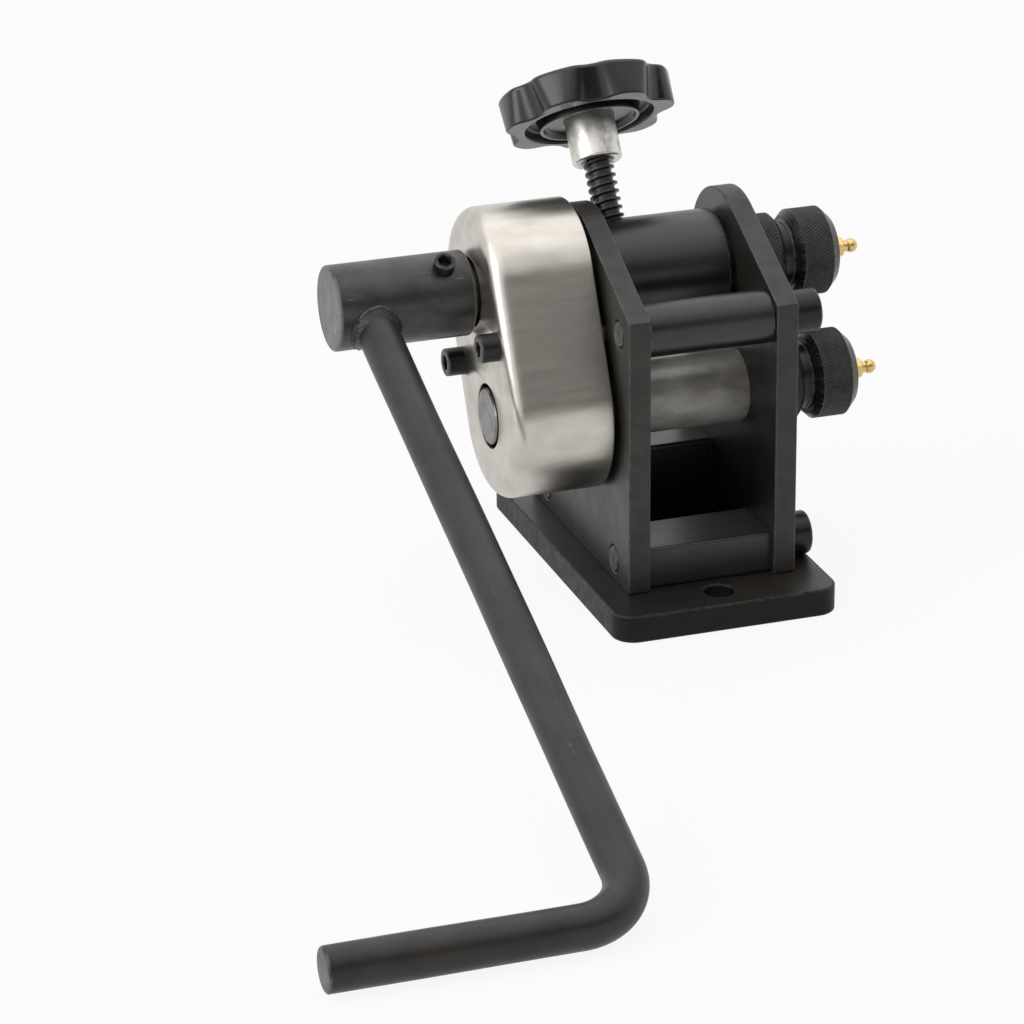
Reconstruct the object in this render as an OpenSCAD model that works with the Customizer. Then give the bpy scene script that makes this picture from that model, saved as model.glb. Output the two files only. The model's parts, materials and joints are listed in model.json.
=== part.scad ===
// Manual roll bender: two geared shafts in a plate frame, turned by a crank.
// X runs along the shafts towards the rollers, Y away from the operator, Z up.
// The origin is at the middle of the base plate's underside. Sizes are in millimetres.

/* [Base plate] */
// Width of the base plate, along the shafts
base_w = 83; // [80:0.5:110]
// Depth of the base plate, front to back
base_d = 140; // [134:0.5:180]
// Thickness of the base plate
base_t = 10; // [8:0.5:14]
// Radius of the base plate's corners
base_corner_r = 8; // [3:0.5:14]
// Diameter of the two bench bolt holes
bench_hole_d = 11; // [7:0.5:12]
// From the base plate's front or rear edge to a bench bolt hole
bench_hole_inset = 12; // [9:0.5:12]

/* [Side plates] */
// Thickness of a side plate
plate_t = 8; // [7:0.5:9]
// Clear distance between the side plates
plate_gap = 46.4; // [42:0.2:47]
// Depth of a side plate at its foot
plate_d = 103; // [100:0.5:112]
// Height of a side plate's upright front edge above the base
plate_front_h = 100.3; // [96:0.1:104]
// Radius of the round top, about the upper shaft
plate_top_r = 27; // [24:0.5:30]

/* [Shafts] */
// Diameter of both shafts
shaft_d = 20; // [18:0.5:20.5]
// Height of the lower shaft above the base's top
lower_axis_h = 58.5; // [50:0.5:62]
// The lower shaft's place, front to back
lower_axis_y = -13.5; // [-15:0.5:-10]
// Lean of the line through both shafts, backwards from upright
axes_lean = 25.6; // [20:0.2:30]
// Radial running clearance of a shaft in its bearing
bearing_clearance = 0.05; // [0.02:0.01:0.08]
// End float of each shaft
end_float = 0.1; // [0.05:0.05:0.3]

/* [Rollers] */
// Diameter of the wide knurled roller
roller_d = 31.6; // [30:0.2:33]
// Gap between the wide rollers
nip = 12.4; // [11.5:0.1:13]
// Width of the wide roller
roller_w = 16.5; // [12:0.5:24]
// Diameter of the narrow knurled collar
collar_d = 30.8; // [29:0.2:32]
// Width of the narrow collar
collar_w = 12.5; // [8:0.5:18]
// Diameter of the groove between collar and roller
groove_d = 23; // [21:0.5:26]
// Width of the groove
groove_w = 4.7; // [4:0.1:8]
// Width of the roller's inner chamfer
inner_chamfer = 2.5; // [1:0.1:3]
// Width of the roller's outer chamfer
outer_chamfer = 2.8; // [1:0.1:4]
// Chamfer on the narrow collar's edges
collar_chamfer = 1.5; // [0.5:0.1:2]
// Diameter of the shaft's spigot inside the roller
spigot_d = 14; // [12:0.5:15]
// Diameter of the screw that holds a roller
roller_screw_d = 4; // [3:0.5:4]

/* [Bearings] */
// Outside diameter of the bearing tubes
bearing_d = 26.4; // [25:0.2:28]
// How far the bearing tubes stand proud of the side plates
bearing_proud = 0.2; // [0.1:0.1:0.5]
// Outside diameter of the upper housing tube
housing_d = 39; // [36:0.5:42]
// From the housing tube's open end to the right side plate
housing_short = 1.9; // [0.5:0.1:5]
// Travel of the upper shaft each way from the middle
travel = 1.5; // [0.5:0.1:1.5]
// Clearance of the sliding sleeve in its slots
slot_clearance = 0.1; // [0.05:0.05:0.3]

/* [Adjusting screw] */
// Lean of the adjusting screw, backwards from upright
screw_lean = 35; // [30:1:40]
// The adjusting screw's place along the shafts
screw_x = -13.45; // [-14:0.5:0]
// Outside diameter of the screw's thread
screw_d = 10.8; // [9:0.2:12]
// Depth of the screw's thread
thread_depth = 1.3; // [0.8:0.1:1.6]
// Rise of the screw's thread in one turn
thread_pitch = 3; // [2:0.25:4]
// Diameter of the screw's plain tip
screw_tip_d = 8; // [6:0.5:8]
// Length of screw to be seen between housing and collar
screw_free = 22; // [18:0.5:30]
// Diameter of the collar under the knob
screw_collar_d = 18; // [15:0.5:20]
// Length of collar to be seen under the knob
screw_collar_free = 15.8; // [10:0.2:22]

/* [Knob] */
// Diameter of the knob over its lobes
knob_d = 62; // [54:1:70]
// Height of the knob
knob_h = 13.2; // [11:0.2:18]
// Number of lobes
knob_lobes = 6; // [5:1:7]
// Depth of the notches between the lobes
notch_depth = 6; // [3:0.5:7]
// Radius of the notches
notch_r = 8; // [6:0.5:10]
// Radius where a notch meets a lobe
lobe_edge_r = 3; // [1.5:0.5:4]
// Rounding of the knob's top edge
knob_edge_r = 3; // [1:0.5:4]
// Outside diameter of the ring groove under the knob
knob_groove_d = 47; // [44:1:49]
// Diameter of the boss inside that groove
knob_boss_d = 36; // [30:1:40]
// Depth of the ring groove
knob_groove_depth = 4; // [2:0.5:6]

/* [Gears and cover] */
// Teeth on each gear
gear_teeth = 12; // [12:1:14]
// Width of the gears
gear_w = 25; // [18:0.5:26]
// How far the gears stand apart from full depth, with the screw in the middle
mesh_opening = 1.6; // [1.6:0.1:2.2]
// Pressure angle of the teeth
pressure_angle = 20; // [18:0.5:22]
// Thickness taken off each tooth for play
tooth_play = 0.4; // [0.3:0.05:0.6]
// Width and height of the gear keys
key_s = 6; // [5:0.5:6]
// Length of the gear keys
key_len = 18; // [12:1:20]
// Thickness of the thrust washers
thrust_washer_t = 1.5; // [1:0.1:1.6]
// Outside diameter of the thrust washers and retaining rings
washer_d = 28; // [26:0.5:30]
// Thickness of the retaining rings
ring_t = 1.2; // [1:0.1:1.5]
// Outside radius of the gear cover about each shaft
cover_r = 29.5; // [29:0.5:32]
// Depth of the gear cover
cover_depth = 36.5; // [34:0.5:42]
// Wall thickness of the gear cover
cover_wall = 1.8; // [1.2:0.1:2]
// Rounding of the cover's outer edge
cover_edge_r = 7.5; // [4:0.5:9]
// Gap between the cover's rim and the left side plate
cover_rim_gap = 2; // [1.5:0.1:2.5]
// Clearance round the lower shaft in the cover
cover_hole_clearance = 1.5; // [0.8:0.1:2]
// Distance of each cover screw from the middle of the cover
cover_screw_reach = 21; // [20.5:0.1:22]
// Outside diameter of the spacers round the cover screws
cover_spacer_d = 8; // [7.5:0.1:8]

/* [Crank] */
// Diameter of the crank hub
hub_d = 30.2; // [28:0.2:36]
// Length of the crank hub
hub_len = 49.2; // [42:0.2:60]
// Gap between the cover and the hub
hub_gap = 2; // [1:0.1:4]
// Thickness of the hub's closed end
hub_end_t = 10; // [6:0.5:14]
// From the hub's inner end to its set screw
hub_screw_inset = 10; // [7:0.5:14]
// Height of the set screw above the hub
hub_screw_proud = 4; // [1:0.5:6]
// Diameter of the crank's round bar
bar_d = 14.5; // [12:0.5:16]
// From the hub's closed end to the bar's axis
arm_inset = 13; // [11:0.5:20]
// Crank radius, from the hub's axis to the grip's axis
arm_len = 296; // [240:1:320]
// Length of the grip, from the arm's axis
grip_len = 100; // [80:1:140]
// Radius of the bend, on the bar's axis
bend_r = 22; // [16:1:30]
// Height of the grip above the bench when it is let down
grip_rest_gap = 0.2; // [0.1:0.1:5]
// Width of the weld round the bar on the hub
weld_w = 3.4; // [2:0.1:5]

/* [Fasteners] */
// Diameter of the tie bolt and the spacer bolts
bolt_d = 10; // [8:0.5:10]
// Diameter of their heads
bolt_head_d = 15.6; // [13:0.2:17]
// Height of their heads
bolt_head_h = 10.2; // [8:0.2:12]
// Diameter of the tie tube
tie_tube_d = 16.4; // [14:0.2:19]
// From the side plate's front edge to the tie bolt
tie_inset = 10.4; // [9.5:0.1:13]
// From the upright edge's top down to the tie bolt
tie_drop = 6.8; // [6:0.1:10]
// Depth of a spacer block
block_d = 25; // [20:0.5:28]
// Height of a spacer block
block_h = 15; // [13:0.5:20]
// From the side plate's edge to a spacer block
block_inset = 3; // [0:0.5:6]
// Diameter of the cover screws and the hub's set screw
small_screw_d = 6; // [5:0.5:6]
// Diameter of the cover screws' heads
small_head_d = 10; // [9:0.5:11]
// Height of the cover screws' heads
small_head_h = 6.5; // [5:0.5:8]
// Diameter of the screws up into the side plates
foot_screw_d = 5; // [4:0.5:5]
// Distance of those screws from the middle of a side plate
foot_screw_reach = 16; // [12:0.5:20]
// Depth of those screws in a side plate
foot_screw_depth = 13; // [8:0.5:16]

/* [Grease nipples] */
// Width of the nipple's hexagon across its flats
nipple_af = 7; // [6:0.5:8]
// Length of the nipple's hexagon
nipple_hex_len = 5.6; // [3:0.2:6]
// How far the nipple stands out of the shaft
nipple_len = 11.7; // [10:0.1:15]
// Diameter of the nipple's thread in the shaft
nipple_thread_d = 6; // [5:0.5:6]
// Length of the nipple's thread
nipple_thread_len = 6; // [4:0.5:8]
// Diameter of the grease drilling
drilling_d = 3; // [2:0.5:4]

/* [Hidden] */
$fn = 96;

// Overrun of a cut past the face that it opens
over = 1;
// Radial clearance of a fixed piece on its seat
seat = 0.02;
// Radial clearance of a screw in a plain hole
screw_clearance = 0.3;

gap_x = plate_gap / 2;
out_x = gap_x + plate_t;
bearing_x = out_x + bearing_proud;
roller_x = bearing_x + end_float;
groove_x = roller_x + collar_w;
wide_x = groove_x + groove_w;
roller_end_x = wide_x + roller_w;
rim_x = out_x + cover_rim_gap;
face_x = rim_x + cover_depth;
inner_face_x = face_x - cover_wall;
hub_x = face_x + hub_gap;
hub_end_x = hub_x + hub_len;
arm_x = hub_end_x - arm_inset;

axes_d = roller_d + nip;
lower_axis = [lower_axis_y, base_t + lower_axis_h];
upper_axis = lower_axis + axes_d * [sin(axes_lean), cos(axes_lean)];
mid_axis = (lower_axis + upper_axis) / 2;
screw_dir = [sin(screw_lean), cos(screw_lean)];
cover_across = [cos(axes_lean), -sin(axes_lean)];
cover_screw_places = [mid_axis + cover_screw_reach * cover_across, mid_axis - cover_screw_reach * cover_across];

front_y = -plate_d / 2;
shoulder = [front_y, base_t + plate_front_h];
heel = [plate_d / 2, base_t];
tie_axis = shoulder + [tie_inset, -tie_drop];
block_y = plate_d / 2 - block_inset - block_d / 2;
// The spacer bolts' heads just clear the base
block_axis_z = base_t + bolt_head_d / 2 + end_float;
foot_x = gap_x + plate_t / 2;

bearing_bore_r = shaft_d / 2 + bearing_clearance;
slot_r = bearing_d / 2 + slot_clearance;
thread_hole_r = screw_d / 2 + bearing_clearance;
// The screw's plain upper end, a little thinner than the bottom of the thread
screw_core_r = screw_d / 2 - thread_depth - thread_depth / 6;
housing_r = housing_d / 2;

// Places along the adjusting screw, from the upper shaft's axis
pocket_depth = 1.1;
tip_s = bearing_d / 2 - pocket_depth;
thread_s = slot_r + travel + travel;
collar_s = housing_r + screw_free;
knob_s = collar_s + screw_collar_free;
knob_top_s = knob_s + knob_h;
knob_floor = 3.6;
screw_top_s = knob_top_s - knob_floor - thread_pitch;
collar_top_s = knob_s + knob_groove_depth;
knob_boss_sink = 0.8;
knob_dome = 1.2;
knob_edge_steps = 4;
knob_notch_steps = 8;
knob_rim_steps = 6;
knob_round_steps = 5;
knob_bore_floor_s = knob_top_s - knob_floor;

gear_module = (axes_d - mesh_opening) / gear_teeth;
pitch_r = gear_module * gear_teeth / 2;
tip_r = pitch_r + gear_module;
root_share = 1.25;
root_r = pitch_r - root_share * gear_module;
base_r = pitch_r * cos(pressure_angle);
flank_steps = 6;
tooth_step = 360 / gear_teeth;
gear_x = bearing_x + end_float + thrust_washer_t;
ring_x = gear_x + gear_w;
ring_float = 0.1;
ring_groove_depth = 0.8;
key_sink_share = 0.58;
key_top_gap = 0.2;
key_r = shaft_d / 2 - key_sink_share * key_s;
key_x = gear_x + (gear_w - key_len) / 2;

// The spacers stop where their rims meet the rounding inside the cover
inner_edge_r = cover_edge_r - cover_wall;
spacer_past = max(0, cover_screw_reach + cover_spacer_d / 2 - cover_r + cover_edge_r);
spacer_end_x = inner_face_x - seat - inner_edge_r + sqrt(pow(inner_edge_r, 2) - pow(spacer_past, 2));

shaft_chamfer = 0.6;
drive_shaft_end_x = hub_end_x - hub_end_t - over;
driven_shaft_end_x = face_x + over / 2;
spigot_r = spigot_d / 2;
spigot_end_x = roller_end_x;
hub_screw_turn = 32;
hub_screw_x = hub_x + hub_screw_inset;
hub_edge = 0.6;
plate_hole_r = bearing_d / 2 + seat;

bar_r = bar_d / 2;
bar_chamfer = 0.8;
arm_drop = asin((upper_axis[1] - bar_r - grip_rest_gap) / arm_len);

bolt_hex_share = 0.5;
socket_depth_share = 0.55;
small_socket_share = 0.5;
head_edge_share = 0.08;
ring_gap_turn = 28;

// Lays a flat shape, drawn as (y, z), upright and gives it a width from x0 to x1.
module across(x0, x1) {
    translate([x0, 0, 0]) rotate([90, 0, 90]) linear_extrude(x1 - x0) children();
}

// Puts a solid of revolution about +X, drawn about its own Z, on an axis through (y, z).
module on_axis(x, axis) {
    translate([x, axis[0], axis[1]]) rotate([90, 0, 90]) children();
}

// A round bar along X.
module bar_x(x0, x1, axis, r) {
    on_axis(x0, axis) cylinder(h = x1 - x0, r = r);
}

// The adjusting screw's own frame: Z runs up the screw from the upper shaft's axis.
module along_screw() {
    translate([screw_x, upper_axis[0], upper_axis[1]]) rotate([-screw_lean, 0, 0]) children();
}

// A hexagonal hole for a socket key, w across its flats, down from z = 0.
module hex_hole(w, depth) {
    translate([0, 0, -depth]) cylinder(h = depth + over, r = w / 2 / cos(180 / 6), $fn = 6);
}

// A cap head of diameter d and height h that stands on z = 0, with its hexagonal hole.
module cap_head(d, h) {
    edge = head_edge_share * d;
    difference() {
        union() {
            cylinder(h = h - edge, d = d);
            translate([0, 0, h - edge]) cylinder(h = edge, d1 = d, d2 = d - 2 * edge);
        }
        translate([0, 0, h]) hex_hole(bolt_hex_share * d, socket_depth_share * h);
    }
}

// A flat slot of radius r, from a to b along direction dir.
module slot_2d(r, a, b, dir) {
    turn = atan2(dir[1], dir[0]);
    rotate(turn) {
        translate([a, 0]) circle(r = r);
        translate([b, 0]) circle(r = r);
        translate([a, -r]) square([b - a, 2 * r]);
    }
}

// Point where the tangent from p touches a circle, on the side named by side = 1 or -1.
function touch(p, c, r, side) =
    let (v = p - c, turn = atan2(v[1], v[0]) + side * acos(r / norm(v)))
    c + r * [cos(turn), sin(turn)];

// Outline of a side plate: upright front edge, slanted shoulder, round top, leaning back edge.
module plate_2d() {
    polygon([
        [front_y, base_t], heel,
        touch(heel, upper_axis, plate_top_r, 1),
        upper_axis,
        touch(shoulder, upper_axis, plate_top_r, -1),
        shoulder
    ]);
    translate(upper_axis) circle(r = plate_top_r);
}

module plate_holes_2d(bolt_hole_r) {
    translate(lower_axis) circle(r = plate_hole_r);
    translate(upper_axis) slot_2d(slot_r, -travel, travel, screw_dir);
    translate(tie_axis) circle(r = bolt_hole_r);
    for (side = [-1, 1])
        translate([side * block_y, block_axis_z]) circle(r = bolt_hole_r);
}

module foot_screw_holes(x) {
    for (side = [-1, 1])
        translate([x, side * foot_screw_reach, base_t - over])
            cylinder(h = over + foot_screw_depth + over, d = foot_screw_d + 2 * seat);
}

module rounded_base_2d() {
    w = base_w / 2 - base_corner_r;
    d = base_d / 2 - base_corner_r;
    square([base_w, 2 * d], center = true);
    square([2 * w, base_d], center = true);
    for (sx = [-1, 1], sy = [-1, 1])
        translate([sx * w, sy * d]) circle(r = base_corner_r);
}

// A countersunk screw's shape, head down at z = 0, with radius r over its shank.
module countersunk(r, len) {
    cylinder(h = len, r = r);
    cylinder(h = r, r1 = 2 * r, r2 = r);
}

module base_plate() {
    color("#2b2b2c") difference() {
        linear_extrude(base_t) rounded_base_2d();
        for (side = [-1, 1])
            translate([0, side * (base_d / 2 - bench_hole_inset), -over])
                cylinder(h = base_t + 2 * over, d = bench_hole_d);
        for (sx = [-1, 1], sy = [-1, 1])
            translate([sx * foot_x, sy * foot_screw_reach, 0])
                countersunk(foot_screw_d / 2 + seat, base_t + over);
    }
}

module plate_screws() {
    color("#26272a")
    for (sx = [-1, 1], sy = [-1, 1])
        translate([sx * foot_x, sy * foot_screw_reach, seat])
            difference() {
                countersunk(foot_screw_d / 2, base_t + foot_screw_depth);
                mirror([0, 0, 1]) hex_hole(small_socket_share * foot_screw_d, foot_screw_d / 2);
            }
}

module left_side_plate() {
    color("#2d2c2b") difference() {
        across(-out_x, -gap_x) difference() {
            plate_2d();
            plate_holes_2d(bolt_d / 2 + seat);
            for (p = cover_screw_places)
                translate(p) circle(d = small_screw_d + 2 * seat);
        }
        foot_screw_holes(-foot_x);
    }
}

module right_side_plate() {
    color("#2d2c2b") difference() {
        across(gap_x, out_x) difference() {
            plate_2d();
            plate_holes_2d(bolt_d / 2 + screw_clearance);
        }
        foot_screw_holes(foot_x);
    }
}

module spacer_block(y) {
    difference() {
        across(-gap_x, gap_x)
            translate([y - block_d / 2, base_t]) square([block_d, block_h]);
        bar_x(-gap_x - over, gap_x + over, [y, block_axis_z], bolt_d / 2 + screw_clearance);
    }
}

module front_spacer_block() { color("#2b2b2c") spacer_block(-block_y); }

module rear_spacer_block() { color("#2b2b2c") spacer_block(block_y); }

// A cap bolt from the right side plate into the left one, its end flush with the outside.
module frame_bolt(axis) {
    on_axis(out_x, axis) cap_head(bolt_head_d, bolt_head_h);
    bar_x(-out_x, out_x, axis, bolt_d / 2);
}

module spacer_bolts() {
    color("#1f2022")
    for (side = [-1, 1])
        frame_bolt([side * block_y, block_axis_z]);
}

module tie_bolt() { color("#1f2022") frame_bolt(tie_axis); }

module tie_tube() {
    color("#333436") difference() {
        bar_x(-gap_x, gap_x, tie_axis, tie_tube_d / 2);
        bar_x(-gap_x - over, gap_x + over, tie_axis, bolt_d / 2 + screw_clearance);
    }
}

module lower_bearing_tube() {
    color("#343537") difference() {
        bar_x(-bearing_x, bearing_x, lower_axis, bearing_d / 2);
        bar_x(-bearing_x - over, bearing_x + over, lower_axis, bearing_bore_r);
    }
}

// The housing tube is fixed to the left side plate. Its bore is a slot in which the sleeve
// slides, and the adjusting screw is threaded through its wall.
module upper_housing_tube() {
    color("#343537") difference() {
        across(-gap_x, gap_x - housing_short) translate(upper_axis) difference() {
            circle(r = housing_r);
            slot_2d(slot_r, -travel, travel, screw_dir);
        }
        along_screw() cylinder(h = housing_r + over, r = thread_hole_r);
    }
}

// The sleeve carries the upper shaft. The screw's tip presses in its flat-bottomed pocket.
module upper_bearing_sleeve() {
    color("#55565a") difference() {
        bar_x(-bearing_x, bearing_x, upper_axis, bearing_d / 2);
        bar_x(-bearing_x - over, bearing_x + over, upper_axis, bearing_bore_r);
        along_screw() translate([0, 0, tip_s])
            cylinder(h = bearing_d, r = screw_tip_d / 2 + slot_clearance);
    }
}

// A half section of the cover, from its axis outwards: x is the radius, y the depth.
module cover_section_2d(r, depth, edge) {
    square([r, depth - edge]);
    square([r - edge, depth]);
    translate([r - edge, depth - edge]) circle(r = edge);
}

// A cup with round ends about both shafts, its open side on the plane of the rim. It is drawn
// about the lower shaft, with X towards the upper one.
module cover_form(r, depth, edge) {
    translate([axes_d, 0, 0]) rotate(-90)
        rotate_extrude(angle = 180) cover_section_2d(r, depth, edge);
    rotate(90) rotate_extrude(angle = 180) cover_section_2d(r, depth, edge);
    rotate([90, 0, 90]) linear_extrude(axes_d) {
        translate([-r, 0]) square([2 * r, depth - edge]);
        translate([edge - r, 0]) square([2 * (r - edge), depth]);
        for (side = [-1, 1])
            translate([side * (r - edge), depth - edge]) circle(r = edge);
    }
}

// A hole through the cover's face, at a place in the cover's own plane.
module cover_hole(x, y, r) {
    translate([x, y, 0]) cylinder(h = cover_depth + over, r = r);
}

module gear_cover() {
    color("#c9c4bd") translate([-rim_x, 0, 0]) rotate([90, 0, 90]) mirror([0, 0, 1])
        translate(lower_axis) rotate(90 - axes_lean) difference() {
            cover_form(cover_r, cover_depth, cover_edge_r);
            translate([0, 0, -over])
                cover_form(cover_r - cover_wall, cover_depth - cover_wall + over, inner_edge_r);
            cover_hole(0, 0, shaft_d / 2 + cover_hole_clearance);
            cover_hole(axes_d, 0, shaft_d / 2 + travel + over);
            for (side = [-1, 1])
                cover_hole(axes_d / 2, side * cover_screw_reach, small_screw_d / 2 + screw_clearance);
        }
}

module cover_spacers() {
    color("#6d6e70")
    for (p = cover_screw_places)
        difference() {
            bar_x(-spacer_end_x, -out_x, p, cover_spacer_d / 2);
            bar_x(-spacer_end_x - over, -out_x + over, p, small_screw_d / 2 + screw_clearance);
        }
}

module cover_screws() {
    color("#1f2022")
    for (p = cover_screw_places) {
        on_axis(-face_x, p) mirror([0, 0, 1]) cap_head(small_head_d, small_head_h);
        bar_x(-face_x, -gap_x - over, p, small_screw_d / 2);
    }
}

// Radius of the thread at a share of one turn: a flat root, a rise, a narrow crest, a fall.
function thread_r(share) =
    let (rise = min(1, max(0, 3 * abs(2 * (share - floor(share)) - 1) - 1)))
    screw_d / 2 - thread_depth * rise;

// A right-hand thread from z0 to z1, as rings of points round the screw.
module thread(z0, z1) {
    sides = 24;
    rows = ceil((z1 - z0) / thread_pitch * 8);
    last = rows * sides;
    points = [
        for (i = [0 : rows], j = [0 : sides - 1])
            let (z = z0 + (z1 - z0) * i / rows, turn = 360 * j / sides, r = thread_r(z / thread_pitch - j / sides))
            [r * cos(turn), r * sin(turn), z]
    ];
    faces = [
        for (i = [0 : rows - 1], j = [0 : sides - 1], half = [0, 1])
            let (a = i * sides + j, b = i * sides + (j + 1) % sides)
            half == 0 ? [a, a + sides, b] : [b, a + sides, b + sides]
    ];
    ends = [
        for (j = [1 : sides - 2], end = [0, 1])
            end == 0 ? [0, j, j + 1] : [last, last + j + 1, last + j]
    ];
    polyhedron(points, concat(faces, ends));
}

module adjusting_screw() {
    color("#1d1e20") along_screw() {
        translate([0, 0, tip_s]) cylinder(h = thread_s + over - tip_s, d = screw_tip_d);
        thread(thread_s, collar_s + over);
        translate([0, 0, collar_s]) cylinder(h = screw_top_s - collar_s, r = screw_core_r);
    }
}

module screw_collar() {
    color("#a9a6a0") along_screw() difference() {
        translate([0, 0, collar_s]) cylinder(h = collar_top_s - collar_s, d = screw_collar_d);
        translate([0, 0, collar_s - over])
            cylinder(h = collar_top_s - collar_s + 2 * over, r = screw_core_r + seat);
        translate([0, 0, collar_s - over])
            cylinder(h = 2 * over + seat, r = screw_d / 2 + seat);
    }
}

// Points along an arc about c, of radius r, from turn a to turn b.
function arc(c, r, a, b, steps) =
    [for (i = [0 : steps]) let (turn = a + (b - a) * i / steps) c + r * [cos(turn), sin(turn)]];

function turned(points, turn) =
    [for (p = points) [p[0] * cos(turn) - p[1] * sin(turn), p[0] * sin(turn) + p[1] * cos(turn)]];

// One notch of the knob's outline, drawn in by the given inset: edge arc, notch arc, edge arc.
function notch_points(inset) =
    let (
        notch_c = knob_d / 2 - notch_depth + notch_r,
        edge_c = knob_d / 2 - lobe_edge_r,
        n = notch_r + inset,
        e = lobe_edge_r - inset,
        half = acos((pow(notch_c, 2) + pow(edge_c, 2) - pow(notch_r + lobe_edge_r, 2)) / (2 * notch_c * edge_c)),
        low = edge_c * [cos(half), -sin(half)],
        high = edge_c * [cos(half), sin(half)],
        reach = atan2(high[1], high[0] - notch_c)
    )
    concat(
        arc(low, e, -half, 180 - reach, knob_edge_steps),
        arc([notch_c, 0], n, -reach, reach - 360, knob_notch_steps),
        arc(high, e, reach - 180, half, knob_edge_steps)
    );

// The knob's whole outline: notches joined by the outer circle.
function knob_outline(inset) =
    let (step = 360 / knob_lobes, notch = notch_points(inset), r = knob_d / 2 - inset)
    let (end = notch[len(notch) - 1], from = atan2(end[1], end[0]))
    [for (i = [0 : knob_lobes - 1])
        for (p = turned(
            concat(notch, [for (k = [1 : knob_rim_steps - 1])
                let (turn = from + (step - 2 * from) * k / knob_rim_steps) r * [cos(turn), sin(turn)]]),
            (i + 0.5) * step))
            p];

// The knob's body: its outline carried up the side and round the top edge, under a low dome.
module knob_body() {
    top = knob_h - knob_dome;
    levels = concat(
        [[0, 0]],
        [for (i = [0 : knob_round_steps]) let (turn = 90 * i / knob_round_steps)
            [knob_edge_r * (1 - cos(turn)), top - knob_edge_r * (1 - sin(turn))]]
    );
    rings = [for (level = levels) knob_outline(level[0])];
    n = len(rings[0]);
    m = len(levels);
    points = concat(
        [for (i = [0 : m - 1], p = rings[i]) [p[0], p[1], levels[i][1]]],
        [[0, 0, 0], [0, 0, knob_h]]
    );
    sides = [
        for (i = [0 : m - 2], j = [0 : n - 1], half = [0, 1])
            let (a = i * n + j, b = i * n + (j + 1) % n)
            half == 0 ? [a, a + n, b] : [b, a + n, b + n]
    ];
    ends = [
        for (j = [0 : n - 1], end = [0, 1])
            let (k = (j + 1) % n)
            end == 0 ? [m * n, j, k] : [m * n + 1, (m - 1) * n + k, (m - 1) * n + j]
    ];
    polyhedron(points, concat(sides, ends));
}

module adjusting_knob() {
    color("#161617") along_screw() translate([0, 0, knob_s]) difference() {
        knob_body();
        difference() {
            translate([0, 0, -over]) cylinder(h = knob_groove_depth + over, d = knob_groove_d);
            translate([0, 0, knob_boss_sink]) cylinder(h = knob_groove_depth, d = knob_boss_d);
        }
        translate([0, 0, -over])
            cylinder(h = knob_groove_depth + over + seat, d = screw_collar_d + 2 * seat);
        translate([0, 0, -over])
            cylinder(h = knob_bore_floor_s - knob_s + over, r = screw_core_r + seat);
    }
}

// Half section of a shaft's body, lying along its axis from x0 to x1.
module shaft_body(axis, x0, x1) {
    on_axis(x0, axis) cylinder(h = shaft_chamfer, r1 = shaft_d / 2 - shaft_chamfer, r2 = shaft_d / 2);
    bar_x(x0 + shaft_chamfer, x1, axis, shaft_d / 2);
    bar_x(x1, spigot_end_x, axis, spigot_r);
}

// A shaft from x0 to its spigot, with its keyway, ring groove and grease drilling.
module shaft(axis, x0) {
    difference() {
        shaft_body(axis, x0, roller_x);
        translate([-key_x - key_len, axis[0] - key_s / 2, axis[1] + key_r])
            cube([key_len, key_s, shaft_d]);
        on_axis(-ring_x - ring_t - ring_float, axis) difference() {
            cylinder(h = ring_t + ring_float, d = shaft_d + over);
            translate([0, 0, -over])
                cylinder(h = ring_t + ring_float + 2 * over, r = shaft_d / 2 - ring_groove_depth);
        }
        bar_x(spigot_end_x - nipple_thread_len - seat, spigot_end_x + over, axis, nipple_thread_d / 2 + seat);
        bar_x(0, spigot_end_x, axis, drilling_d / 2);
        translate([drilling_d, axis[0], axis[1] - shaft_d])
            cylinder(h = shaft_d, d = drilling_d);
    }
}

module upper_shaft() { color("#6a6a6a") shaft(upper_axis, -drive_shaft_end_x); }

module lower_shaft() { color("#6a6a6a") shaft(lower_axis, -driven_shaft_end_x); }

// A roller in one piece: narrow collar, groove and wide roller, all chamfered.
module roller(axis) {
    c = collar_d / 2;
    g = groove_d / 2;
    w = roller_d / 2;
    bore = spigot_r + seat;
    x1 = collar_w;
    x2 = x1 + groove_w;
    x3 = x2 + roller_w;
    difference() {
        on_axis(roller_x, axis) rotate_extrude() polygon([
            [bore, 0],
            [c - collar_chamfer, 0],
            [c, collar_chamfer],
            [c, x1 - collar_chamfer],
            [c - collar_chamfer, x1],
            [g, x1],
            [g, x2],
            [w - inner_chamfer, x2],
            [w, x2 + inner_chamfer],
            [w, x3 - outer_chamfer],
            [w - outer_chamfer, x3],
            [bore, x3]
        ]);
        translate([groove_x + groove_w / 2, axis[0], axis[1]])
            rotate([-90, 0, 0]) cylinder(h = roller_d, d = roller_screw_d + 2 * seat);
    }
}

module upper_roller() { color("#1c1c1d") roller(upper_axis); }

module lower_roller() { color("#1c1c1d") roller(lower_axis); }

module roller_screw(axis) {
    len = groove_d / 2 - spigot_r - seat;
    translate([groove_x + groove_w / 2, axis[0] + spigot_r + seat, axis[1]])
        rotate([-90, 0, 0]) difference() {
            cylinder(h = len, d = roller_screw_d);
            translate([0, 0, len]) hex_hole(small_socket_share * roller_screw_d, len / 2);
        }
}

module upper_roller_screw() { color("#26272a") roller_screw(upper_axis); }

module lower_roller_screw() { color("#26272a") roller_screw(lower_axis); }

function involute(turn) = tan(turn) * 180 / PI - turn;

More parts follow.
